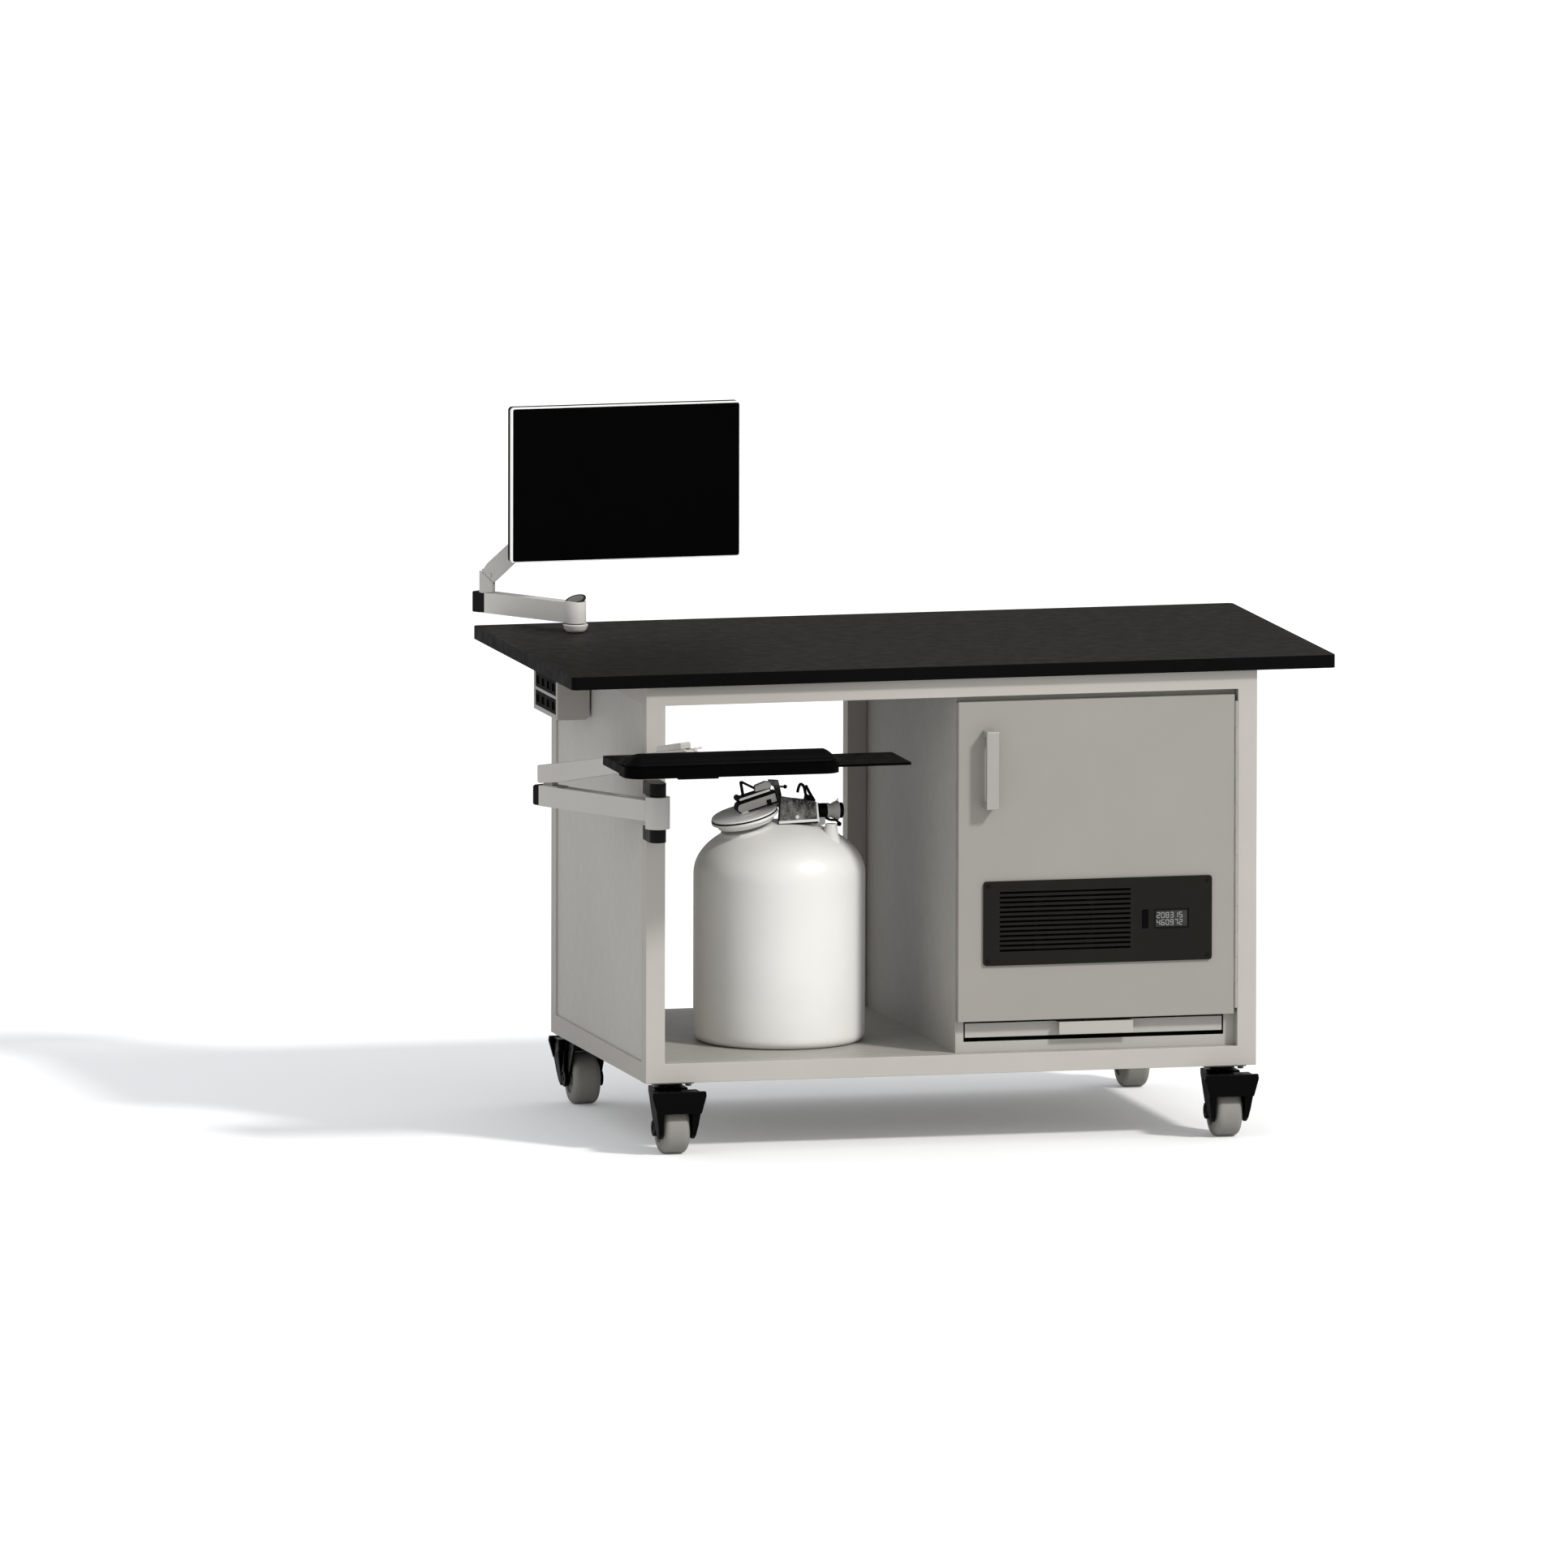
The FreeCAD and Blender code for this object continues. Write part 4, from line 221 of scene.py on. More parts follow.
def steel_with_painted_reflection():
    """Stainless sheet with a painted mottled reflection: dark patches and lighter streaks over a brighter metal.
    """
    n = Nodes("steel_with_painted_reflection")
    reflection_patches = n.noise(42, 7.0, (1, 1, 0.6), 0.65)
    reflection_streaks = n.noise(190, 4.0, (1, 1, 3))
    # Painted reflection: the dark patches and the light streaks in the base colour stand for the mottled
    # reflection on the stainless.
    shown = n.mix(n.span(reflection_patches, 0.0, 1.0, 0.42, 0.64), srgb(24, 24, 22), srgb(142, 140, 134))
    n.feed("Base Color", n.mix(n.span(reflection_streaks, 0.0, 0.5, 0.52, 0.75), shown, srgb(176, 174, 168)))
    n.feed("Roughness", n.span(reflection_patches, 0.28, 0.5))
    n.feed("Metallic", 0.35)
    n.bump([(reflection_streaks, 0.2, 0.4), (reflection_patches, 0.2, 0.8)])
    return n.material


def foam_skin():
    """Open-cell foam: dark and dry, with small hollows painted darker at their bottoms as shade."""
    n = Nodes("acoustic_foam")
    pits_and_pit_shade = n.span(n.cells(420), 0.0, 1.0, 0.0, 0.6)
    # Painted shade: the colour is darkest at the bottom of each hollow that the bump sinks.
    n.feed("Base Color", n.mix(pits_and_pit_shade, srgb(26, 26, 28), srgb(62, 62, 65)))
    n.feed("Roughness", 0.95)
    n.feed("Specular IOR Level", 0.15)
    n.bump([(pits_and_pit_shade, 0.8, 1.2)])
    return n.material


def palm_skin():
    """Soft black skin with a fine leather grain."""
    n = Nodes("palm_rest_skin")
    tone = n.noise(14, 3.0)
    n.feed("Base Color", n.mix(n.span(tone, 0.0, 1.0), srgb(3, 3, 3), srgb(6, 6, 6)))
    n.feed("Roughness", n.span(n.noise(80), 0.42, 0.58))
    n.feed("Specular IOR Level", 0.06)
    n.bump([(n.cells(900), 0.35, 0.5), (tone, 0.1, 1.0)])
    return n.material


def display_segments():
    """Dark liquid-crystal panel with an uneven tone."""
    n = Nodes("display_segments")
    glow = n.noise(60, 3.0)
    shown = n.mix(n.span(glow, 0.0, 1.0), srgb(30, 30, 28), srgb(46, 46, 43))
    n.feed("Base Color", shown)
    n.feed("Roughness", n.span(n.noise(90), 0.3, 0.45))
    n.bump([(n.noise(1500), 0.05, 0.1)])
    return n.material


M = make_materials()


# Mesh helpers

def keep(name, bm, material=None, smooth=False, edge=0.0, segments=2):
    """Turns a bmesh in millimetres into an object in metres, with its edges rounded by edge."""
    bmesh.ops.recalc_face_normals(bm, faces=bm.faces)
    bm.transform(Matrix.Scale(MM, 4))
    mesh = bpy.data.meshes.new(name)
    bm.to_mesh(mesh)
    bm.free()
    if smooth:
        mesh.polygons.foreach_set("use_smooth", [True] * len(mesh.polygons))
    obj = bpy.data.objects.new(name, mesh)
    scene.collection.objects.link(obj)
    if material:
        mesh.materials.append(M[material])
    if edge:
        soften(obj, edge, segments)
    return obj


def add_box(bm, low, high):
    made = bmesh.ops.create_cube(bm, size=1.0)
    size = [h - l for l, h in zip(low, high)]
    mid = [(h + l) / 2 for l, h in zip(low, high)]
    bmesh.ops.scale(bm, vec=size, verts=made["verts"])
    bmesh.ops.translate(bm, vec=mid, verts=made["verts"])


def add_rod(bm, start, end, radius, end_radius=None, sides=32):
    start, end = Vector(start), Vector(end)
    axis = end - start
    turn = axis.to_track_quat("Z", "Y").to_matrix().to_4x4()
    made = bmesh.ops.create_cone(bm, cap_ends=True, segments=sides, radius1=radius,
                                 radius2=radius if end_radius is None else end_radius, depth=axis.length)
    bmesh.ops.transform(bm, matrix=Matrix.Translation((start + end) / 2) @ turn, verts=made["verts"])


def revolve(bm, profile, sides=96, place=Matrix.Identity(4)):
    """A turned surface about Z from (radius, height) points; points on the axis close it."""
    rings = []
    for radius, height in profile:
        angles = [2 * pi * i / sides for i in range(sides)] if radius > 1e-6 else [0]
        spots = [Vector((radius * cos(a), radius * sin(a), height)) for a in angles]
        rings.append([bm.verts.new(place @ spot) for spot in spots])
    for low, high in zip(rings, rings[1:]):
        for i in range(sides):
            j = (i + 1) % sides
            corners = [low[i % len(low)], low[j % len(low)], high[j % len(high)], high[i % len(high)]]
            face = list(dict.fromkeys(corners))
            if len(face) > 2:
                bm.faces.new(face)


def sweep(bm, points, radius, sides=12):
    """A round wire along points."""
    points = [Vector(p) for p in points]
    rings = []
    side = Vector((0, 1, 0))
    for i, p in enumerate(points):
        ahead = (points[min(i + 1, len(points) - 1)] - points[max(i - 1, 0)]).normalized()
        side = side - ahead * side.dot(ahead)
        side = side.normalized() if side.length > 1e-4 else ahead.orthogonal().normalized()
        up = ahead.cross(side)
        angles = [2 * pi * k / sides for k in range(sides)]
        rings.append([p + radius * (cos(a) * side + sin(a) * up) for a in angles])
    loft(bm, rings)


def rounded_outline(low, high, radii, inset=0.0, steps=8):
    """A rectangle's outline with a radius for each corner, from low-low round, pulled in by inset."""
    x0, y0, x1, y1 = low[0] + inset, low[1] + inset, high[0] - inset, high[1] - inset
    centres = ((x0, y0, 1, 1, 180), (x1, y0, -1, 1, 270), (x1, y1, -1, -1, 0), (x0, y1, 1, -1, 90))
    points = []
    for (x, y, sx, sy, start), radius in zip(centres, radii):
        r = max(radius - inset, 0.6)
        r = min(r, (x1 - x0) / 2.02, (y1 - y0) / 2.02)
        points += arc((x + sx * r, y + sy * r), r, start, start + 90, steps)
    return points


def loft(bm, rings, close=True):
    """Joins rings of the same number of points, and closes both ends unless told not to."""
    made = [[bm.verts.new(p) for p in ring] for ring in rings]
    count = len(made[0])
    for low, high in zip(made, made[1:]):
        for i in range(count):
            j = (i + 1) % count
            bm.faces.new((low[i], low[j], high[j], high[i]))
    if close:
        bm.faces.new(made[0])
        bm.faces.new(made[-1])


def side_solid(bm, points, start, end, place):
    """An upright outline (x, z points) pushed along Y from start to end, then placed."""
    near = [bm.verts.new(place @ Vector((x, start, z))) for x, z in points]
    far = [bm.verts.new(place @ Vector((x, end, z))) for x, z in points]
    bm.faces.new(near)
    bm.faces.new(far)
    for i in range(len(points)):
        j = (i + 1) % len(points)
        bm.faces.new((near[i], near[j], far[j], far[i]))


def arc(centre, radius, start, end, steps=10):
    """Points along an arc from one angle to another."""
    points = []
    for i in range(steps + 1):
        a = radians(start + (end - start) * i / steps)
        points.append((centre[0] + radius * cos(a), centre[1] + radius * sin(a)))
    return points


def rounded_path(points, radius, steps=6):
    """A polyline with its inner corners rounded."""
    out = [points[0]]
    for a, b, c in zip(points, points[1:], points[2:]):
        back, ahead = (a - b).normalized(), (c - b).normalized()
        r = min(radius, (a - b).length / 2, (c - b).length / 2)
        for i in range(steps + 1):
            u = i / steps
            out.append(b + back * r * (1 - u) ** 2 + ahead * r * u ** 2)
    out.append(points[-1])
    return out


def soften(obj, width, segments=3, angle=32, weld=False):
    """Rounds an object's edges by a modifier, with smooth shading across the round."""
    if weld:
        merge = obj.modifiers.new("Weld", "WELD")
        merge.merge_threshold = 2e-6
    bevel = obj.modifiers.new("Edges", "BEVEL")
    bevel.width = width * MM
    bevel.segments = segments
    bevel.limit_method = "ANGLE"
    bevel.angle_limit = radians(angle)
    bevel.harden_normals = True
    bevel.use_clamp_overlap = True
    return obj


def settle(obj):
    """Bakes an object's modifiers into its mesh."""
    graph = bpy.context.evaluated_depsgraph_get()
    mesh = bpy.data.meshes.new_from_object(obj.evaluated_get(graph))
    obj.modifiers.clear()
    old = obj.data
    obj.data = mesh
    bpy.data.meshes.remove(old)


def combine(obj, others, operation):
    """Boolean of one object with others, which are used up."""
    for other in others:
        mod = obj.modifiers.new("Join", "BOOLEAN")
        mod.operation = operation
        mod.solver = "EXACT"
        mod.object = other
    settle(obj)
    for other in others:
        bpy.data.objects.remove(other)
    return obj


def dress(node, material, edge=0.0, segments=2):
    """Gives a CAD node its material, and softens its edges by a modifier."""
    obj = NODES[node]
    obj.data.materials.clear()
    obj.data.materials.append(M[material])
    obj.data.polygons.foreach_set("material_index", [0] * len(obj.data.polygons))
    if edge:
        soften(obj, edge, segments, weld=True)
    return obj


def span_of(node):
    """A node's lowest and highest corner in millimetres."""
    low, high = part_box(node)
    return low / MM, high / MM


def along(name):
    """A joint's place in millimetres and its axis."""
    joint = JOINTS[name]
    return Vector(joint["pos_m"]) / MM, Vector(joint["axis"]).normalized()


def along_mount(name):
    """A mount's place in millimetres and its axis."""
    mount = next(m for m in frame["record"]["mounts"] if m["name"] == name)
    return Vector(mount["pos_m"]) / MM, Vector(mount["axis"])


def heading_frame(start, end):
    """A frame at start with X level towards end, then the rise (radians) and length of that line."""
    run = end - start
    turn = Matrix.Rotation(atan2(run.y, run.x), 4, "Z")
    return Matrix.Translation(start) @ turn, atan2(run.z, hypot(run.x, run.y)), run.length


def turned(degrees, axis):
    """A rotation about X, Y or Z."""
    return Matrix.Rotation(radians(degrees), 4, axis)


def placed(place, *points):
    """Points carried to a place."""
    return [place @ Vector(q) for q in points]


# Frame: one welded skin in place of the separate tubes

def frame_skin():
    low, high = span_of("frame_legs")
    size = span_of("deck_shelf")[0].x - low.x
    boxes = []
    for x in (low.x, high.x - size):
        for y in (low.y, high.y - size):
            boxes.append(((x, y, low.z), (x + size, y + size, high.z)))
        for z in (low.z, high.z - size):
            boxes.append(((x, low.y + size / 2, z), (x + size, high.y - size / 2, z + size)))
    for y in (low.y, high.y - size):
        for z in (low.z, high.z - size):
            boxes.append(((low.x + size / 2, y, z), (high.x - size / 2, y + size, z + size)))
    wall = span_of("cabinet_wall")[0].x
    boxes.append(((wall - size, high.y - size, low.z + size / 2), (wall, high.y, high.z - size / 2)))
    made = []
    for i, (a, b) in enumerate(boxes):
        bm = bmesh.new()
        add_box(bm, a, b)
        made.append(keep(f"tube_{i}", bm))
    skin = combine(made[0], made[1:], "UNION")
    skin.name = "frame_skin"
    bm = bmesh.new()
    bm.from_mesh(skin.data)
    bmesh.ops.dissolve_limit(bm, angle_limit=radians(1), verts=bm.verts, edges=bm.edges)
    bm.to_mesh(skin.data)
    bm.free()
    skin.data.materials.append(M["paint"])
    soften(skin, 1.0, 3)
    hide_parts("frame_legs", "frame_rails")
    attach(skin, "bench")


# Plain CAD nodes: each material's nodes, with the rounding of their edges. A rounding above
# WIDE_EDGE has three segments.

WIDE_EDGE = 1.1
DRESS = {
    "sheet": {"deck_shelf": 0, "cabinet_wall": 0, "cabinet_back": 0, "cabinet_front_frame": 0.5,
              "pump_tray": 0.6, "outlet_box": 0.6},
    "panel": {"side_panels": 0},
    "door": {"door_panel": 1.2},
    "brushed": {"door_handle": 1.6, "door_hinge_leaf": 0, "door_hinge_wing": 0},
    "vent": {"vent_panel": 0.6},
    "lcd": {"display_module": 0.4},
    "satin": {"rocker_switch": 0.8},
    "dark": {"tray_runners": 0, "fan_frame": 0.6, "fan_rotor": 0, "outlet_sockets": 0.5},
    "zinc": {"caster_plates": 0.6},
    "silver": {"arm_lower_link": 2.4, "arm_head": 0.8, "vesa_yoke": 0.8, "release_lever": 0.4},
    "cast": {"kb_lower_link": 2.8, "kb_elbow": 0.8, "kb_head": 0.8},
    "black": {"kb_arm_bracket": 1.6, "vesa_plate": 1.0, "tray_bracket": 0.8},
    "glass": {"monitor_screen": 0.4},
    "tray": {"keyboard_tray": 1.6, "mouse_tray": 0.8},
}


def dress_nodes():
    for material, nodes in DRESS.items():
        for node, edge in nodes.items():
            dress(node, material, edge, 3 if edge > WIDE_EDGE else 2)
    for corner in CORNERS:
        dress(f"caster_fork_{corner}", "satin", 0.8)
        dress(f"caster_wheel_{corner}", "wheel")
    dress("kb_link_cap", "black", 4.0)
    top = dress("worktop", "top", 2.2, 3)
    # Upward faces take the lit copy of the laminate and every other face takes the shaded copy: painted sheen on
    # top, painted shade on the sides.
    top.data.materials.append(M["edge"])
    for poly in top.data.polygons:
        poly.material_index = 0 if poly.normal.z > 0.9 else 1


# Foam boards in the cabinet and the door

FOAM_THICK, FOAM_ROUND, FOAM_GAP, PORT_RADIUS = 14.0, 3.0, 0.5, 50.0
# Edges longer than FOAM_GRID are split, and faces sink by FOAM_SINK with waves of FOAM_WAVE
FOAM_GRID, FOAM_SINK, FOAM_WAVE = 60.0, 0.4, 0.12


def foam_board(name, boxes, holes, node, body):
    """Foam boards with soft edges and slightly uneven faces, less the holes through them."""
    bm = bmesh.new()
    for low, high in boxes:
        add_box(bm, low, high)
    obj = keep(name, bm, "foam")
    cutters = []
    for make in holes:
        bm = bmesh.new()
        make(bm)
        cutters.append(keep("cutter", bm))
    if cutters:
        combine(obj, cutters, "DIFFERENCE")
    settle(soften(obj, FOAM_ROUND, 4))
    bm = bmesh.new()
    bm.from_mesh(obj.data)
    for _ in range(5):
        long_edges = [e for e in bm.edges if e.calc_length() > FOAM_GRID * MM]
        if not long_edges:
            break
        bmesh.ops.subdivide_edges(bm, edges=long_edges, cuts=1, use_grid_fill=True)
    bmesh.ops.triangulate(bm, faces=[f for f in bm.faces if len(f.verts) > 4])
    for v in bm.verts:
        p = v.co
        wave = sin(31 * p.x + 17 * p.z) + sin(23 * p.y - 29 * p.z) + sin(41 * p.z + 19 * p.x)
        v.co += v.normal * (FOAM_WAVE * wave - FOAM_SINK) * MM
    bm.to_mesh(obj.data)
    bm.free()
    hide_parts(node)
    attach(obj, body)


def foam():
    low, high = span_of("acoustic_lining")
    inner = span_of("cabinet_wall")[1].x
    back = span_of("cabinet_back")[0].y
    leg = span_of("deck_shelf")[1]
    port, _ = along_mount("hose_port")
    boards = [
        ((inner, low.y, low.z), (inner + FOAM_THICK, back - FOAM_THICK - FOAM_GAP, high.z)),
        ((high.x - FOAM_THICK, FOAM_GAP - leg.y, low.z), (high.x, leg.y - FOAM_GAP, high.z)),
        ((inner, back - FOAM_THICK, low.z), (leg.x - FOAM_GAP, back, high.z)),
    ]

    # Both cutters reach past the board's faces
    def port_hole(bm):
        add_rod(bm, (port.x, back - 40, port.z), (port.x, back + 10, port.z), PORT_RADIUS, sides=64)
    foam_board("sound_lining", boards, [port_hole], "acoustic_lining", "bench")
    low, high = span_of("door_liner")
    vent_low, vent_high = span_of("vent_panel")

    def vent_hole(bm):
        add_box(bm, (vent_low.x, low.y - 20, vent_low.z), (vent_high.x, high.y + 20, vent_high.z))
    foam_board("door_foam", [(tuple(low), tuple(high))], [vent_hole], "door_liner", "door")


# Palm rest: a crowned skin with a seam round its foot

PALM_RADII = (29, 29, 5, 5)
PALM_SEAM = ((1.6, 0.0), (0.9, 0.5), (1.5, 1.2), (0.4, 2.6), (0.0, 4.4))
PALM_ROUND_IN, PALM_ROUND_UP = 4.0, 3.6


def palm_rest():
    low, high = span_of("palm_rest")
    half = (high.y - low.y) / 2
    tall = high.z - low.z
    seam_top = PALM_SEAM[-1][1]
    edge = seam_top + PALM_ROUND_UP
    rings = []

    def ring(inset, z):
        outline = rounded_outline((low.x, low.y), (high.x, high.y), PALM_RADII, inset, 10)
        rings.append([(x, y, low.z + z) for x, y in outline])
    for inset, z in PALM_SEAM:
        ring(inset, z)
    for step in range(1, 7):
        a = radians(15 * step)
        ring(PALM_ROUND_IN * (1 - cos(a)), seam_top + PALM_ROUND_UP * sin(a))
    for step in range(1, 13):
        u = step / 12.4
        inset = PALM_ROUND_IN + (half - PALM_ROUND_IN) * u
        ring(inset, edge + (tall - edge) * (1 - (1 - u) ** 2))
    bm = bmesh.new()
    loft(bm, rings)
    obj = keep("palm_cushion", bm, "leather", smooth=True)
    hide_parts("palm_rest")
    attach(obj, "keyboard")


# Screen: a thin pale rim and a dark vented back round the CAD screen

def screen_case():
    pivot, axis = along("screen_tilt")
    yaw = Matrix.Rotation(atan2(axis.y, axis.x), 4, "Z")
    place = Matrix.Translation(pivot) @ yaw
    half_x, half_z, front, back = 230.5, 152.0, -57.0, -25.0
    rim_left, rim_right, rim_foot, rim_top, lip_corner = 4.6, 1.4, 1.6, 3.0, 4

    def rect(inset, y, lift=0.0, corner=7):
        """The case's outline at one depth, its top edge bulged up by lift."""
        outline = rounded_outline((-half_x, -half_z), (half_x, half_z), (corner,) * 4, inset, 8)
        bulge = [lift * max(0.0, 1 - (x / half_x) ** 4) if z > 0 else 0.0 for x, z in outline]
        return [place @ Vector((x, y, z + b)) for (x, z), b in zip(outline, bulge)]

    def lip(y, extra):
        """The rim's inner edge: wider at the left and the top than at the right and below."""
        outline = rounded_outline((-half_x + rim_left + extra, -half_z + rim_foot + extra),
                                  (half_x - rim_right - extra, half_z - rim_top - extra),
                                  (lip_corner,) * 4, 0, 8)
        return [place @ Vector((x, y, z)) for x, z in outline]
    bm = bmesh.new()
    rings = [lip(front + 3.0, 0.4), lip(front - 0.3, 0.2), lip(front - 0.7, 0),
             rect(0.6, front - 0.7), rect(0.0, front + 0.2), rect(0.0, front + 5),
             rect(0.6, front + 5.6), rect(2.4, front + 5.6)]
    loft(bm, rings, close=False)
    rim = keep("screen_rim", bm, "case", edge=0.25)
    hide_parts("monitor_housing")
    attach(rim, "screen")
    bm = bmesh.new()
    rings = [rect(2.2, front + 2.6), rect(2.2, front + 5.6), rect(1.0, front + 6.0, 3.2),
             rect(0.4, front + 7, 4.2), rect(0.4, front + 22, 4.2), rect(2.4, front + 25, 2.0)]
    rings += [rect(inset, back - step, corner=20) for inset, step in ((34, 2.2), (36, 1.4), (54, 0.4))]
    loft(bm, rings)
    shell = keep("screen_back", bm, "dark")
    slot_count, slot_start, slot_pitch, slot_half = 22, 24, 7, 2
    bm = bmesh.new()
    for side in (-1, 1):
        for i in range(slot_count):
            x = side * (slot_start + slot_pitch * i)
            add_box(bm, (x - slot_half, front + 13, half_z - 16), (x + slot_half, front + 19, half_z + 8))
    bm.transform(place)
    combine(shell, [keep("slots", bm)], "DIFFERENCE")
    soften(shell, 0.5, 2)
    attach(shell, "screen")


# Screen arm: bowl foot, tilted knuckle cap, black end cap, and a closed lift link between two cheeks

def screen_arm():
    foot, _ = along("arm_swivel")
    elbow, _ = along("arm_elbow_swivel")
    pivot, _ = along("arm_lift")
    head, _ = along("arm_level")
    top = span_of("worktop")[1].z
    link_low = span_of("arm_lower_link")[0].z
    cap_half, cap_tall, cap_corner = 15, 40, 2.5
    riser_half, cheek_out, cheek_thick = 14.8, 15.2, 1.9
    link_half, fork_thick, nose = 13, 4.8, 17
    bm = bmesh.new()
    bowl = [(0, 0.2), (13, 0.2), (17.5, 1.4), (21, 5), (23.2, 10), (24.4, 13.4), (24.4, 15), (23.6, 15.8),
            (0, 15.8)]
    revolve(bm, bowl, 64, Matrix.Translation((foot.x, foot.y, top)))
    add_rod(bm, (foot.x, foot.y, top + 10), (foot.x, foot.y, top + 50), 9.6, sides=32)
    base = keep("arm_bowl", bm, "silver", edge=0.5)
    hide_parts("arm_base")
    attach(base, "bench")

    place, _, length = heading_frame(Vector((foot.x, foot.y, link_low)), Vector((elbow.x, elbow.y, link_low)))
    bm = bmesh.new()
    rings = []
    for x, inset in ((length + 3, 0.2), (length + 3.4, -0.4), (length + 34, -0.4), (length + 38, 4.0)):
        outline = rounded_outline((-cap_half, 0), (cap_half, cap_tall), (cap_corner,) * 4, inset, 4)
        rings.append([place @ Vector((x, y, z)) for y, z in outline])
    loft(bm, rings)
    crown_axis, crown_rise = Vector((-0.305, -0.198, 0.932)), 46
    tilt = crown_axis.to_track_quat("Z", "Y").to_matrix().to_4x4()
    crown = Matrix.Translation((foot.x, foot.y, link_low + crown_rise)) @ tilt
    cap = [(0, -9), (15, -9), (20.5, -2.4), (20.8, -0.6), (20.2, 0.6), (17.6, 0.9), (17.2, -0.4), (0, -0.6)]
    revolve(bm, cap, 64, crown)
    caps = keep("arm_caps", bm, "black", edge=0.6)
    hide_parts("arm_link_caps")
    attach(caps, "arm_lower")
    bm = bmesh.new()
    revolve(bm, [(0, -0.9), (16.6, -0.9), (16.6, 0.2), (15.8, 0.6), (6, 0.9), (0, 0.95)], 48, crown)
    inlay = keep("arm_cap_inlay", bm, "zinc", edge=0.3)
    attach(inlay, "arm_lower")

    level, pitch, reach = heading_frame(pivot, head)
    under = link_low + cap_tall + 0.3 - pivot.z
    bm = bmesh.new()
    core = [(-20, under + 0.4), (7, under + 0.4), (7, -19.4), (-20, -19.4)]
    side_solid(bm, core, -riser_half, riser_half, level)
    cheek = [(-20, under + 0.5), (7, under + 0.5), (7, -15.5), (-17.5, 9), (-20, 9)]
    for y in (-cheek_out, cheek_out - cheek_thick):
        side_solid(bm, cheek, y, y + cheek_thick, level)
    add_rod(bm, *placed(level, (0, -15, 0), (0, 15, 0)), 4, sides=24)
    add_rod(bm, *placed(level, (0, 0, under - 30), (0, 0, under + 2)), 8, sides=32)
    riser = keep("arm_riser", bm, "silver", edge=0.9, segments=3)
    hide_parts("arm_elbow")
    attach(riser, "arm_mid")
    sloped = level @ Matrix.Rotation(-pitch, 4, "Y")
    start = arc((0, 0), nose, 270, 100, 12)
    closed = start + [(12, 20), (reach - 20, 18), (reach - 19, -nose)]
    forked = [(reach - 20.5, -nose), (reach - 20.5, 18)] + arc((reach, 0), nose, 90, -90, 12)
    bm = bmesh.new()
    side_solid(bm, closed, -link_half, link_half, sloped)
    for y in (-link_half, link_half - fork_thick):
        side_solid(bm, forked, y, y + fork_thick, sloped)
    lift = keep("arm_lift_cover", bm, "silver", edge=1.6, segments=3)
    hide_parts("arm_lift_link")
    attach(lift, "arm_upper")


def keyboard_arm():
    """The lift link as a casting, closed at the elbow and forked at the head, and a shoe under the elbow."""
    elbow, _ = along("kb_lift")
    head, _ = along("kb_level")
    level, pitch, reach = heading_frame(elbow, head)
    sloped = level @ Matrix.Rotation(-pitch, 4, "Y")
    half, bore, nose, shoe_half = 15.3, 8.2, 13.6, 14.8
    fork = reach - 24
    closed = [(-19.2, 18.5), (-24.4, -10)] + arc((-19.6, -11.4), 5, 190, 262, 4)
    closed += [(30, -19.5), (fork, -14), (fork, 14.4)]
    forked = [(fork - 0.5, -14), (fork - 0.5, 14.4)] + arc((reach, 0), nose, 90, -90, 12)
    web = [(16, -19), (16, 17.6), (fork, 14.2), (fork, -13.8)]
    roof = [(-18.6, 18.1), (-18.6, 13.4), (17, 13.4), (17, 17.6)]
    housing = [(reach - 78, 14), (reach - 74, 26), (reach - 7, 27), (reach - 5, 25), (reach - 5, 14)]
    sides = ((-half, -bore), (bore, half))
    filling = (-bore - 0.2, bore + 0.2)
    bm = bmesh.new()
    for outline, spans in ((closed, sides), (web, (filling,)), (roof, (filling,)), (forked, sides),
                           (housing, ((-13.5, 13.5),))):
        for near, far in spans:
            side_solid(bm, outline, near, far, sloped)
    cover = keep("kb_lift_cover", bm, "cast", edge=1.6, segments=3)
    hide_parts("kb_lift_link")
    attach(cover, "kb_upper")
    under = along("kb_elbow_swivel")[0].z - elbow.z
    bm = bmesh.new()
    sole = [(-7, 0.3), (34, 0.3), (36, 0.9), (36, 1.4), (14, 1.7), (-7, 1.7)]
    side_solid(bm, [(x, under + z) for x, z in sole], -shoe_half, shoe_half, level)
    shoe = keep("kb_elbow_shoe", bm, "cast", edge=0.3)
    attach(shoe, "kb_mid")


# Casters: a glossy hood that turns on the axle with the brake

HOOD_WAIST = 100
HOOD_TAPER = 0.0034


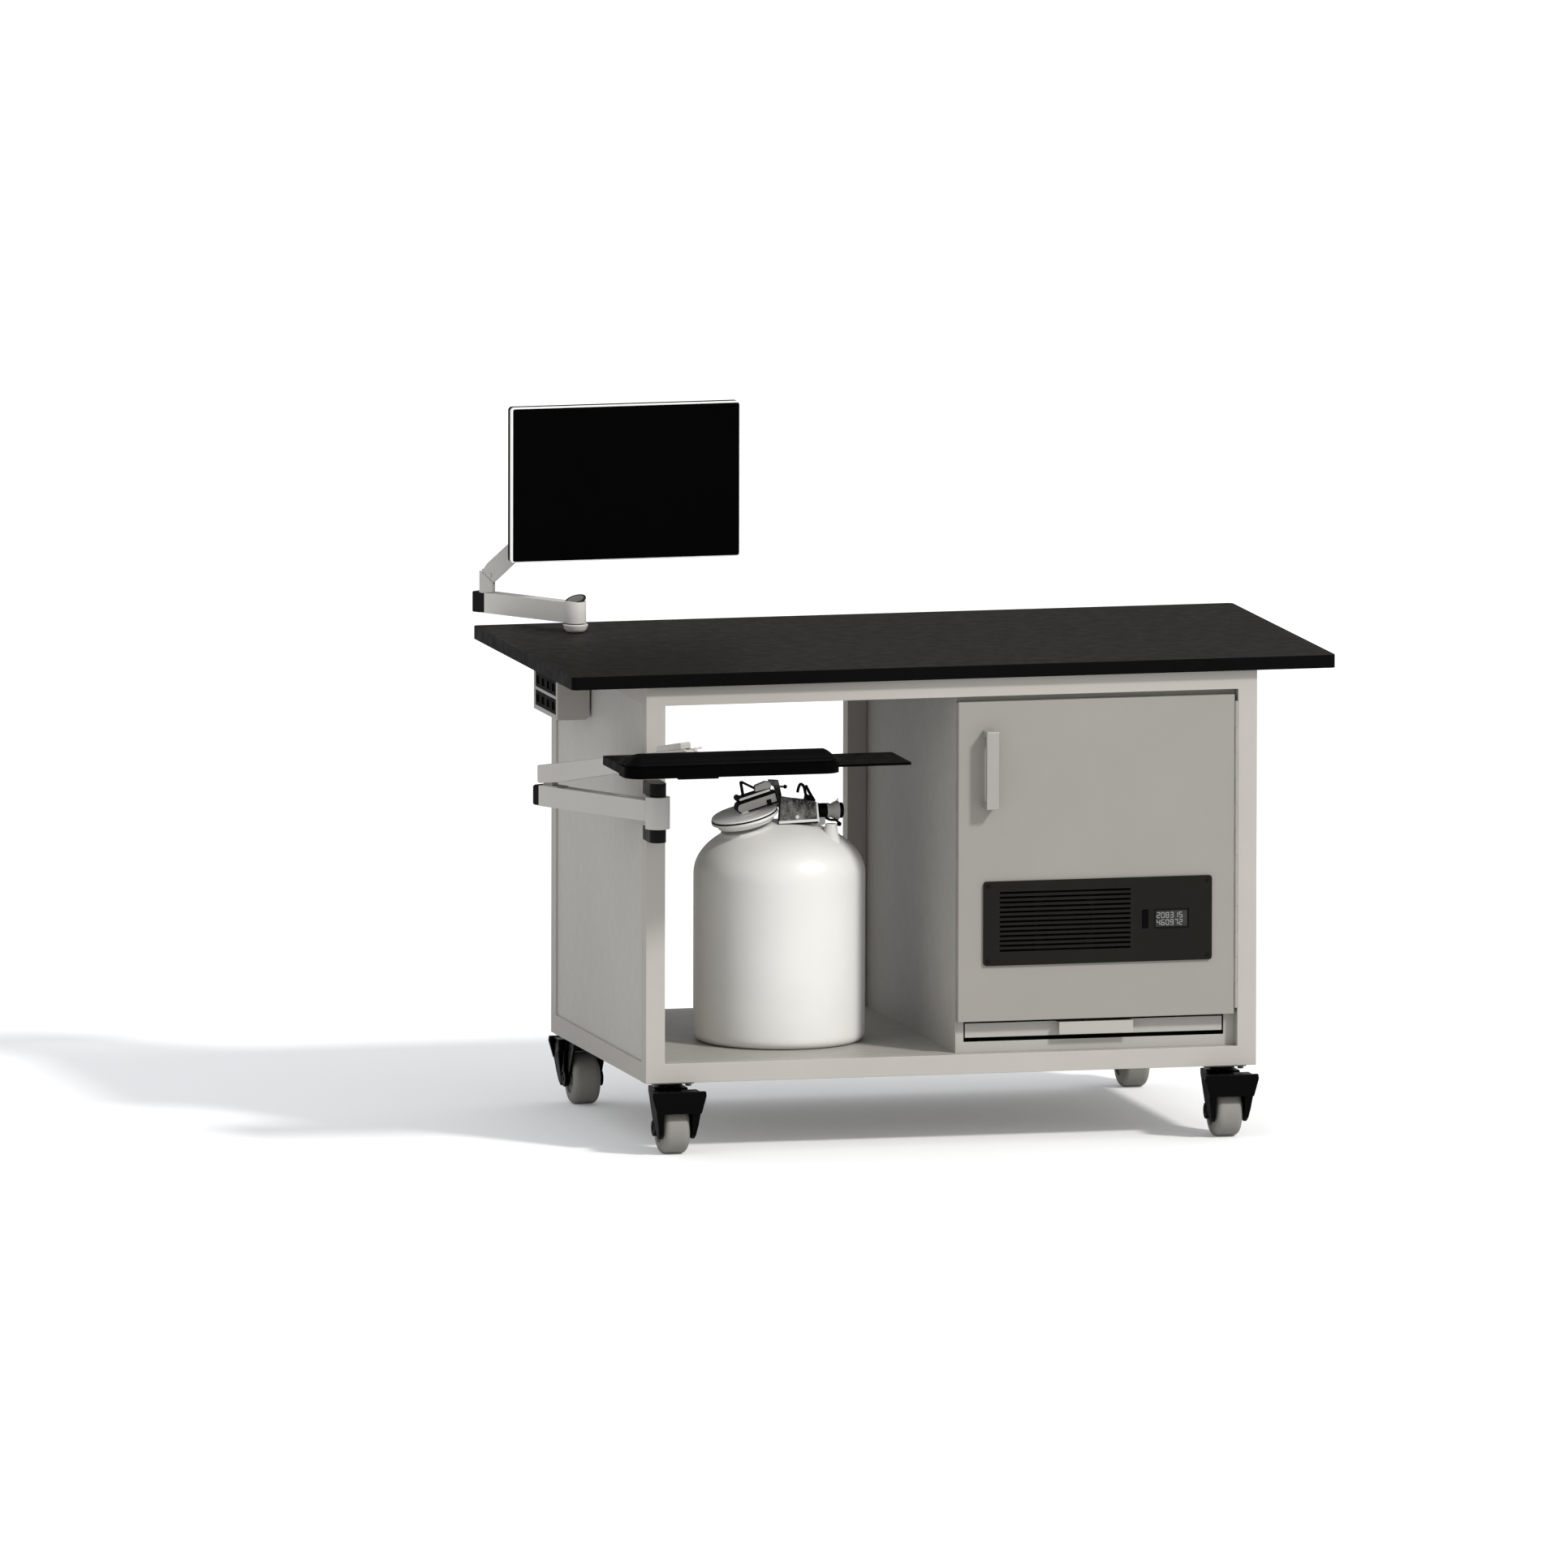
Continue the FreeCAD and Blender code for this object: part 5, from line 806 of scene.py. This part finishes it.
def caster_hoods():
    """A hood over each wheel with a broad front, side wings and axle covers."""
    for corner in CORNERS:
        pivot, _ = along(f"swivel_{corner}")
        wheel, _ = along(f"roll_{corner}")
        facing = 0 if pivot.y < 0 else 180
        place = Matrix.Translation((pivot.x, pivot.y, 0)) @ turned(facing, "Z")
        across = place @ turned(90, "Z")
        axle = (-abs(wheel.y - pivot.y), wheel.z)
        roof = [(-92, 84), (-95, 104), (-95, 120), (-92, 125.4), (-47, 125.4), (-44.5, 123)]
        front = [(-53, 127), (53, 127), (54, 118), (47, 84), (-47, 84), (-54, 118)]
        wing = [(-92, 88), (-89, 60), (-82, 40), (-72, 32), (-61, 33), (-55, 50), (-49, 90), (-47, 118),
                (-92, 118)]
        cover = [axle] + arc(axle, 57.4, 84, 154, 14)
        hub = arc(axle, 16, 0, 360, 32)[:-1]
        bm = bmesh.new()
        side_solid(bm, roof + arc(axle, 53.5, 100, 140, 10), -46, 46, across)
        side_solid(bm, front, -98, -88, place)
        for side in (-1, 1):
            for inner, outer, outline in ((28.4, 46.6, wing), (33.6, 38.6, cover), (33.6, 38.6, hub)):
                low, high = sorted((side * inner, side * outer))
                side_solid(bm, outline, low, high, across)
        back = across.inverted()
        for v in bm.verts:
            q = back @ v.co
            if abs(q.y) > 40 and q.z < HOOD_WAIST:
                v.co = across @ Vector((q.x, q.y * (1 - HOOD_TAPER * (HOOD_WAIST - q.z)), q.z))
        hood = keep(f"brake_hood_{corner}", bm, "satin", edge=2.0, segments=3)
        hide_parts(f"caster_brake_{corner}")
        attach(hood, f"brake_{corner}")


# Door panel display: a dark glass with plain digits

SEGMENTS = {"0": "abcdef", "1": "bc", "2": "abged", "3": "abgcd", "4": "fgbc", "5": "afgcd", "6": "afgedc",
            "7": "abc", "8": "abcdefg", "9": "abcdfg"}


def digit(bm, figure, x, z, wide, high, y):
    """Seven bars for one figure, as thin solids facing -Y."""
    bar = wide * 0.17
    half = high / 2
    near, far = x + bar * 0.6, x + wide - bar * 0.6
    upper = (z + half + bar * 0.3, z + high - bar * 0.6)
    lower = (z + bar * 0.6, z + half - bar * 0.3)
    places = {
        "a": (near, z + high - bar, far, z + high),
        "g": (near, z + half - bar / 2, far, z + half + bar / 2),
        "d": (near, z, far, z + bar),
        "f": (x, upper[0], x + bar, upper[1]),
        "b": (x + wide - bar, upper[0], x + wide, upper[1]),
        "e": (x, lower[0], x + bar, lower[1]),
        "c": (x + wide - bar, lower[0], x + wide, lower[1]),
    }
    for key in SEGMENTS[figure]:
        x0, z0, x1, z1 = places[key]
        add_box(bm, (x0, y - 0.15, z0), (x1, y + 0.15, z1))


def display():
    low, high = span_of("display_module")
    rim, inset, corner = 5.2, 3.5, 1.5
    left, right, bottom, top = low.x + rim, high.x - rim, low.z + rim, high.z - rim
    face = low.y
    bm = bmesh.new()
    outline = rounded_outline((left, bottom), (right, top), (corner + inset,) * 4, inset, 4)
    loft(bm, [[(x, face + 0.2, z) for x, z in outline], [(x, face - 0.25, z) for x, z in outline]])
    pane = keep("display_pane", bm, "segments")
    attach(pane, "door")
    bm = bmesh.new()
    wide, tall, pitch, row_pitch = 6.6, 11.0, 8.9, 14.2
    first_x, first_z = left + 5.5, bottom + 6.2
    for row, figures in enumerate(("460972", "208315")):
        for i, figure in enumerate(figures):
            digit(bm, figure, first_x + i * pitch, first_z + row * row_pitch, wide, tall, face - 0.3)
    ink = keep("display_figures", bm, "ink")
    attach(ink, "door")


def screw_faces():
    """The vent panel's four screw heads are black."""
    obj = NODES["vent_panel"]
    reach, depth = 14, 1.38
    obj.data.materials.append(M["black"])
    low, high = span_of("vent_panel")
    for poly in obj.data.polygons:
        c = poly.center / MM
        near_x = min(c.x - low.x, high.x - c.x) < reach
        near_z = min(c.z - low.z, high.z - c.z) < reach
        if near_x and near_z and c.y < low.y + depth:
            poly.material_index = 1


# Waste can: one moulded skin with a leaning neck, then its closure and bracket

CAN_LOW, CAN_HIGH = span_of("can_body")
CAN = Vector(((CAN_LOW.x + CAN_HIGH.x) / 2, (CAN_LOW.y + CAN_HIGH.y) / 2, CAN_LOW.z))
CAN_RADIUS, CAN_SHOULDER, CAN_DOME, CAN_FOOT, CAN_WALL = 167.0, 327.0, 103.0, 17, 4
CAN_VOXEL, CAN_EASE = 3.2, 14
NECK_AT, NECK_LEAN, NECK_NOD = Vector((-74, -16, 444)), -13.2, 4.8
NECK = Matrix.Translation(CAN + NECK_AT) @ turned(NECK_LEAN, "Y") @ turned(NECK_NOD, "X")
NECK_RADIUS, NECK_BORE, FLANGE_RADIUS = 56.0, 50.0, 66.0
LEVER_RISE = 3.6
FITTING_HEIGHT = 15
# The bracket's heights are from the dome's top and its x from the can's axis
DOME = Matrix.Translation(CAN + Vector((0, 0, CAN_SHOULDER + CAN_DOME)))


def can_shell():
    """The can's skin melted together with its neck, then its lug, flange and gasket."""
    profile = [(0, 0)] + arc((CAN_RADIUS - CAN_FOOT, CAN_FOOT), CAN_FOOT, -90, 0, 8)
    profile += [(CAN_RADIUS * x, CAN_SHOULDER + CAN_DOME * z) for x, z in arc((0, 0), 1, 0, 90, 24)]
    bm = bmesh.new()
    revolve(bm, profile, 144, Matrix.Translation(CAN))
    skin = keep("can_skin", bm)
    bm = bmesh.new()
    add_rod(bm, *placed(NECK, (0, 0, -66), (0, 0, -24)), NECK_RADIUS - 3, sides=96)
    add_rod(bm, *placed(NECK, (0, 0, -25), (0, 0, -2)), NECK_RADIUS - 3, NECK_RADIUS + 7, 96)
    combine(skin, [keep("neck", bm)], "UNION")
    remesh = skin.modifiers.new("Skin", "REMESH")
    remesh.mode = "VOXEL"
    remesh.voxel_size = CAN_VOXEL * MM
    ease = skin.modifiers.new("Ease", "SMOOTH")
    ease.factor = 0.5
    ease.iterations = CAN_EASE
    settle(skin)
    inside = NECK.inverted()
    bm = bmesh.new()
    bm.from_mesh(skin.data)
    mouth = []
    mouth_low, mouth_reach = -9, NECK_RADIUS + 12
    for v in bm.verts:
        p = inside @ (v.co / MM)
        if p.z > mouth_low and p.xy.length < mouth_reach:
            mouth.append(v)
    bmesh.ops.delete(bm, geom=mouth, context="VERTS")
    bm.to_mesh(skin.data)
    bm.free()
    skin.data.materials.append(M["can"])
    skin.data.polygons.foreach_set("use_smooth", [True] * len(skin.data.polygons))
    wall = skin.modifiers.new("Wall", "SOLIDIFY")
    wall.thickness = CAN_WALL * MM
    wall.offset = -1
    bm = bmesh.new()
    rings = []
    lug_rings = ((78, -84, -60, 28), (81.5, -77, -47, 23.6), (85, -68, -34, 18.6), (88.5, -58, -21, 14.4),
                 (91, -49.5, -10, 12.2), (91.3, -48, -5.4, 11.6), (91.4, -48, -4.2, 10.6))
    for x, y, z, r in lug_rings:
        rings.append([DOME @ Vector((x + a, y + b, z)) for a, b in arc((0, 0), r, 0, 360, 40)[:-1]])
    loft(bm, rings)
    lug = keep("can_lug", bm, "can", smooth=True)
    soften(lug, 0.5, 2, 50)
    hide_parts("can_body")
    bm = bmesh.new()
    bore, neck, rim = NECK_BORE, NECK_RADIUS, FLANGE_RADIUS
    ring = [(bore, -14), (bore, -1.2), (bore + 0.8, -0.9), (rim - 2, -0.9), (rim - 0.6, -1.5), (rim, -2.8),
            (rim, -5.2), (rim - 0.6, -6.4), (rim - 2, -7), (neck + 4, -7.6), (neck + 1, -9),
            (neck - 0.3, -12), (neck - 0.6, -16), (bore, -14)]
    revolve(bm, ring, 96, NECK)
    flange = keep("can_flange", bm, "can", smooth=True)
    for piece in (lug, skin, flange):
        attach(piece, "can")
    bm = bmesh.new()
    seal = [(52, -0.9), (52, 0.1), (60, 0.1), (60, 1.2), (rim - 1.2, 1.3), (rim - 0.5, 0.6),
            (rim - 0.6, -0.7), (rim - 1, -0.9), (52, -0.9)]
    revolve(bm, seal, 96, NECK)
    gasket = keep("can_gasket", bm, "gasket", smooth=True)
    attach(gasket, "can")


def neck_solid(bm, points, start, end):
    """An outline drawn along the neck's X and Z, pushed along its Y from start to end."""
    side_solid(bm, points, start, end, NECK)


def bar(length, high, inset=0.0):
    """A lever's outline: round at its left end, square at its right."""
    r = high / 2 - inset
    return arc((high / 2, 0), r, 270, 90, 14) + [(length - inset, r), (length - inset, -r)]


def tilted(points, x, z, rise):
    """An outline moved to x, z and sloped up by rise degrees."""
    c, s = cos(radians(rise)), sin(radians(rise))
    return [(x + px * c - pz * s, z + px * s + pz * c) for px, pz in points]


def lever_outline(inset=0.0):
    return tilted(bar(84, 22, inset), -15, 15.6, LEVER_RISE)


def strip_outline(inset=0.0):
    return tilted(bar(68, 9, inset), -8, 33, LEVER_RISE)


def closure():
    """A lid with a clamp lever, a second bar over it and a wire bail."""
    bm = bmesh.new()
    disc = [(0, 0.4), (59.6, 0.4), (59.8, 1.3), (63.6, 1.4), (64.4, 2), (64.4, 3.6), (63.4, 4.6), (59, 4.8),
            (57, 4.2), (30, 4.2), (28, 5.2), (14, 5.4), (12, 9), (0, 9)]
    revolve(bm, disc, 96, NECK)
    lid = keep("closure_lid", bm, "case", edge=0.4)
    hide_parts("can_lid")
    bm = bmesh.new()
    for y in (-11.7, 10.2):
        neck_solid(bm, lever_outline(2.6), y, y + 1.5)
    lump = [(29, 41), (30, 51), (33, 52.6), (52, 55), (61.5, 52), (61.5, 41)]
    neck_solid(bm, lump, -9, 3)
    for i in range(5):
        x = 33 + 6 * i
        neck_solid(bm, [(x, 43), (x + 3.4, 43), (x + 3.4, 51), (x, 51)], -10, -8.6)
    for y in (-6, 14):
        neck_solid(bm, [(50, 2), (68, -1), (73, 0.5), (74, 3), (73, 5.5), (68, 7), (50, 6)], y, y + 4)
    add_rod(bm, *placed(NECK, (70, -4, 3), (70, 16, 3)), 4, sides=24)
    metal = keep("closure_lever", bm, "cast", edge=0.6)
    bm = bmesh.new()
    for y in (-8.7, 7.2):
        neck_solid(bm, strip_outline(2.2), y, y + 1.5)
    strip = keep("closure_strip", bm, "case", edge=0.4)
    # Black solids: the lever's and the strip's full outlines stand out round their smaller plates as a black rim,
    # which is painted shade on their edges. The blocks, the knob and the bail wire are black parts.
    bm = bmesh.new()
    neck_solid(bm, lever_outline(), -11, 11)
    neck_solid(bm, strip_outline(), -8, 8)
    neck_solid(bm, [(-2, 24), (8, 24), (8, 31), (-2, 31)], -5, 5)
    neck_solid(bm, [(46, 26), (56, 26), (56, 34), (46, 34)], -5, 5)
    neck_solid(bm, [(46, 8), (55, 8), (55, 20), (46, 20)], -14, -11)
    neck_solid(bm, arc((-7, 36), 6, 0, 360, 16)[:-1], -7, 7)
    for y in (-4, 4):
        bail = placed(NECK, (5, y, 36), (6, y, 64), (9, y, 64), (36, y, 41))
        sweep(bm, rounded_path(bail, 4), 2.2, 10)
    add_rod(bm, *placed(NECK, (6.5, -4, 63), (6.5, 4, 63)), 2.2, sides=16)
    core = keep("closure_black_parts_and_rim_shade", bm, "gasket", edge=0.5)
    for piece in (lid, metal, strip, core):
        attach(piece, "can_closure")


def bracket():
    """A sheet box with a painted mottled reflection, with hooks, on a pale foot."""
    bm = bmesh.new()
    side_solid(bm, [(14, 0.6), (66, 0.6), (62, 37.6), (26, 42.4), (14, 26)], -37.8, 0, DOME)
    side_solid(bm, [(-7.6, 51.6), (63, 38.6), (66.4, -0.2), (-10.5, -3)], -40, -37.6, DOME)
    side_solid(bm, [(-7.6, 51.6), (63, 38.6), (63.4, 35.2), (-7.8, 48)], -41.6, -39.8, DOME)
    for y0, y1 in ((-8.2, -4.4), (16.4, 19.8)):
        neck_solid(bm, [(66.6, -2), (90, -2), (90, 0), (75.2, 3), (74, 5.6), (70, 7), (67, 5)], y0, y1)
    neck_solid(bm, [(72, 0), (84, 0), (84, 32), (83.6, 45), (64, 51.6), (63.4, 42), (72, 34)], 16.4, 19.8)
    neck_solid(bm, [(65, 40), (82, 34), (83, 44), (65, 50)], 13.2, 17)
    add_rod(bm, *placed(NECK, (70, -9, 3), (70, 21, 3)), 2.2, sides=20)
    add_rod(bm, *placed(NECK, (80, 15, 33), (92, 14, 29.5)), 2.2, sides=16)
    shell = keep("bracket_box", bm, "mottled", edge=0.7)
    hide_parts("can_bracket")
    bm = bmesh.new()
    side_solid(bm, [(-11.6, -3), (66.6, -0.2), (66.2, 5), (-11.8, 2.6)], -43.6, -39.4, DOME)
    side_solid(bm, [(62.8, 37.6), (66.2, 37.2), (70, -1.8), (66, -1.8)], -41.8, -38, DOME)
    revolve(bm, [(0, 2.4), (2.4, 2.1), (3.8, 0.8), (4, 0), (0, 0)], 24,
            DOME @ Matrix.Translation((25.8, -40, 9.4)) @ turned(90, "X"))
    foot = keep("bracket_foot", bm, "case", edge=0.6)
    bm = bmesh.new()
    side_solid(bm, [(-12.6, -6), (66.6, -3), (66.6, 0.2), (-12.6, -2.6)], -44.2, -37, DOME)
    side_solid(bm, [(-13, -4), (-10.4, -4), (-7.4, 51.8), (-9.6, 51.8)], -42, -37.6, DOME)
    side_solid(bm, [(50, 37), (70, 33), (70, 38), (58, 47), (52, 47)], -6, 9, DOME)
    hook = placed(DOME, (36, 0, 52), (38, 0, 62), (42, 0, 70), (49, 0, 64), (54, 0, 40))
    sweep(bm, rounded_path(hook, 7), 3.0, 12)
    rod = placed(DOME, (53.6, 4, 65), (60, 4, 52), (71, 4, 34))
    sweep(bm, rounded_path(rod, 8), 3.0, 12)
    ball = [(0, -4.2), (2.2, -3.6), (3.7, -2), (4.2, 0), (3.7, 2), (2.2, 3.6), (0, 4.2)]
    revolve(bm, ball, 24, NECK @ Matrix.Translation((93.5, 14, 29.2)))
    dark = keep("bracket_hooks", bm, "gasket", edge=0.4)
    for piece in (shell, foot, dark):
        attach(piece, "can")
    fitting(ball)


def fitting(ball):
    """A quick-disconnect: black collar, flared grey body, a black end and a small latch lever with a ball."""
    place = DOME @ Matrix.Translation((0, 0, FITTING_HEIGHT)) @ turned(90, "Y")
    bm = bmesh.new()
    revolve(bm, [(0, 70), (12, 70), (14.4, 77), (15, 78), (15, 92), (14, 94), (0, 94)], 48, place)
    end = [(0, 117), (14.8, 117), (15.2, 118), (15.2, 124.6), (14, 126), (7, 126), (6, 124), (0, 124)]
    revolve(bm, end, 48, place)
    latch = placed(DOME, (90, -6, 2), (98, -9, -2), (112, -10, -3), (117, -10, -9))
    sweep(bm, rounded_path(latch, 5), 2.6, 10)
    revolve(bm, ball, 24, DOME @ Matrix.Translation((117, -10, -10.5)) @ Matrix.Scale(1.15, 4))
    dark = keep("fitting_dark", bm, "satin", edge=0.5)
    bm = bmesh.new()
    flare = [(0, 93), (14, 93), (15, 94.2), (15, 98), (13.6, 100), (13.6, 103), (15.4, 106), (18.6, 112.6),
             (19.2, 114.4), (19.2, 116.4), (18.2, 117.6), (0, 117.6)]
    revolve(bm, flare, 48, place)
    sweep(bm, placed(DOME, (109, -2, 28), (113, -3, 34), (117, -3, 39)), 1.2, 8)
    body = keep("fitting_body", bm, "cast", edge=0.4)
    bm = bmesh.new()
    side_solid(bm, [(72, -12), (86, -12), (90, -9), (90, 6), (88, 8), (72, 8)], -9, 9, DOME)
    block = keep("fitting_block", bm, "case", edge=1.6, segments=3)
    for piece in (dark, body, block):
        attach(piece, "can")


# Floor, light and camera

VIEW_AZIMUTH, VIEW_ELEVATION, VIEW_ROLL = 13.95, 7.49, -0.114
VIEW_WIDTH_M = 3.0449
VIEW_AIM_M = Vector((-0.2340, 0.0205, 0.6620))
LENS = 1400.0
SENSOR = 36.0
FLOOR_REACH = 60000
FLOOR_WHITE, FLOOR_MIRRORED, FLOOR_LIFT = 0.8, 0.3, 0.1
SUN_TRAVEL = Vector((-0.763, 0.98, -1.0))
SUN_POWER, SUN_SIZE, SUN_COLOUR = 2.55, 7, (1.0, 0.985, 0.96)
SKY = ((0.96, 0.975, 1.0), 0.93)
MIRRORED_SKY = ((0.97, 0.98, 1.0), 0.28)
SEEN_SKY = ((1, 1, 1), 1.0)


def camera():
    data = bpy.data.cameras.new("Camera")
    data.lens = LENS
    data.sensor_width = SENSOR
    distance = VIEW_WIDTH_M * LENS / SENSOR
    data.clip_start = 1.0
    data.clip_end = 400.0
    obj = bpy.data.objects.new("Camera", data)
    scene.collection.objects.link(obj)
    azimuth, elevation = radians(VIEW_AZIMUTH), radians(VIEW_ELEVATION)
    ahead = Vector((sin(azimuth) * cos(elevation), cos(azimuth) * cos(elevation), -sin(elevation)))
    spot = Matrix.Translation(VIEW_AIM_M - ahead * distance)
    turn = ahead.to_track_quat("-Z", "Y").to_matrix().to_4x4()
    obj.matrix_world = spot @ turn @ turned(-VIEW_ROLL, "Z")
    scene.camera = obj


def floor():
    """A white floor that keeps the shadow, lifted for camera rays so that it meets the background."""
    bm = bmesh.new()
    corners = ((-1, -1), (1, -1), (1, 1), (-1, 1))
    bm.faces.new([bm.verts.new((x * FLOOR_REACH, y * FLOOR_REACH, 0)) for x, y in corners])
    obj = keep("floor", bm)
    n = Nodes("floor_white")
    n.feed("Roughness", 0.9)
    n.feed("Specular IOR Level", 0.0)
    n.feed("Emission Color", (1, 1, 1, 1))
    rays = n.add("ShaderNodeLightPath")
    n.feed("Base Color", n.span(rays.outputs["Is Glossy Ray"], FLOOR_WHITE, FLOOR_MIRRORED, 0.0, 1.0))
    n.feed("Emission Strength", n.span(rays.outputs["Is Camera Ray"], 0.0, FLOOR_LIFT, 0.0, 1.0))
    obj.data.materials.append(n.material)


def lights():
    """A soft sun, and a sky that is dimmer in reflections and white to the camera."""
    data = bpy.data.lights.new("sun", "SUN")
    data.energy = SUN_POWER
    data.angle = radians(SUN_SIZE)
    data.color = SUN_COLOUR
    sun = bpy.data.objects.new("sun", data)
    scene.collection.objects.link(sun)
    sun.rotation_euler = SUN_TRAVEL.to_track_quat("-Z", "Y").to_euler()
    world = bpy.data.worlds.new("World")
    scene.world = world
    world.use_nodes = True
    tree = world.node_tree
    tree.nodes.clear()
    out = tree.nodes.new("ShaderNodeOutputWorld")
    rays = tree.nodes.new("ShaderNodeLightPath")

    def glow(colour, strength):
        node = tree.nodes.new("ShaderNodeBackground")
        node.inputs["Color"].default_value = (*colour, 1)
        node.inputs["Strength"].default_value = strength
        return node.outputs[0]

    def pick(ray, other_rays, these_rays):
        """One look for rays of the named kind and another for the rest."""
        node = tree.nodes.new("ShaderNodeMixShader")
        tree.links.new(rays.outputs[ray], node.inputs["Fac"])
        tree.links.new(other_rays, node.inputs[1])
        tree.links.new(these_rays, node.inputs[2])
        return node.outputs[0]
    lit = pick("Is Glossy Ray", glow(*SKY), glow(*MIRRORED_SKY))
    tree.links.new(pick("Is Camera Ray", lit, glow(*SEEN_SKY)), out.inputs["Surface"])


scene.view_settings.view_transform = "Standard"
frame_skin()
dress_nodes()
foam()
palm_rest()
screen_case()
screen_arm()
keyboard_arm()
caster_hoods()
display()
screw_faces()
can_shell()
closure()
bracket()
camera()
floor()
lights()
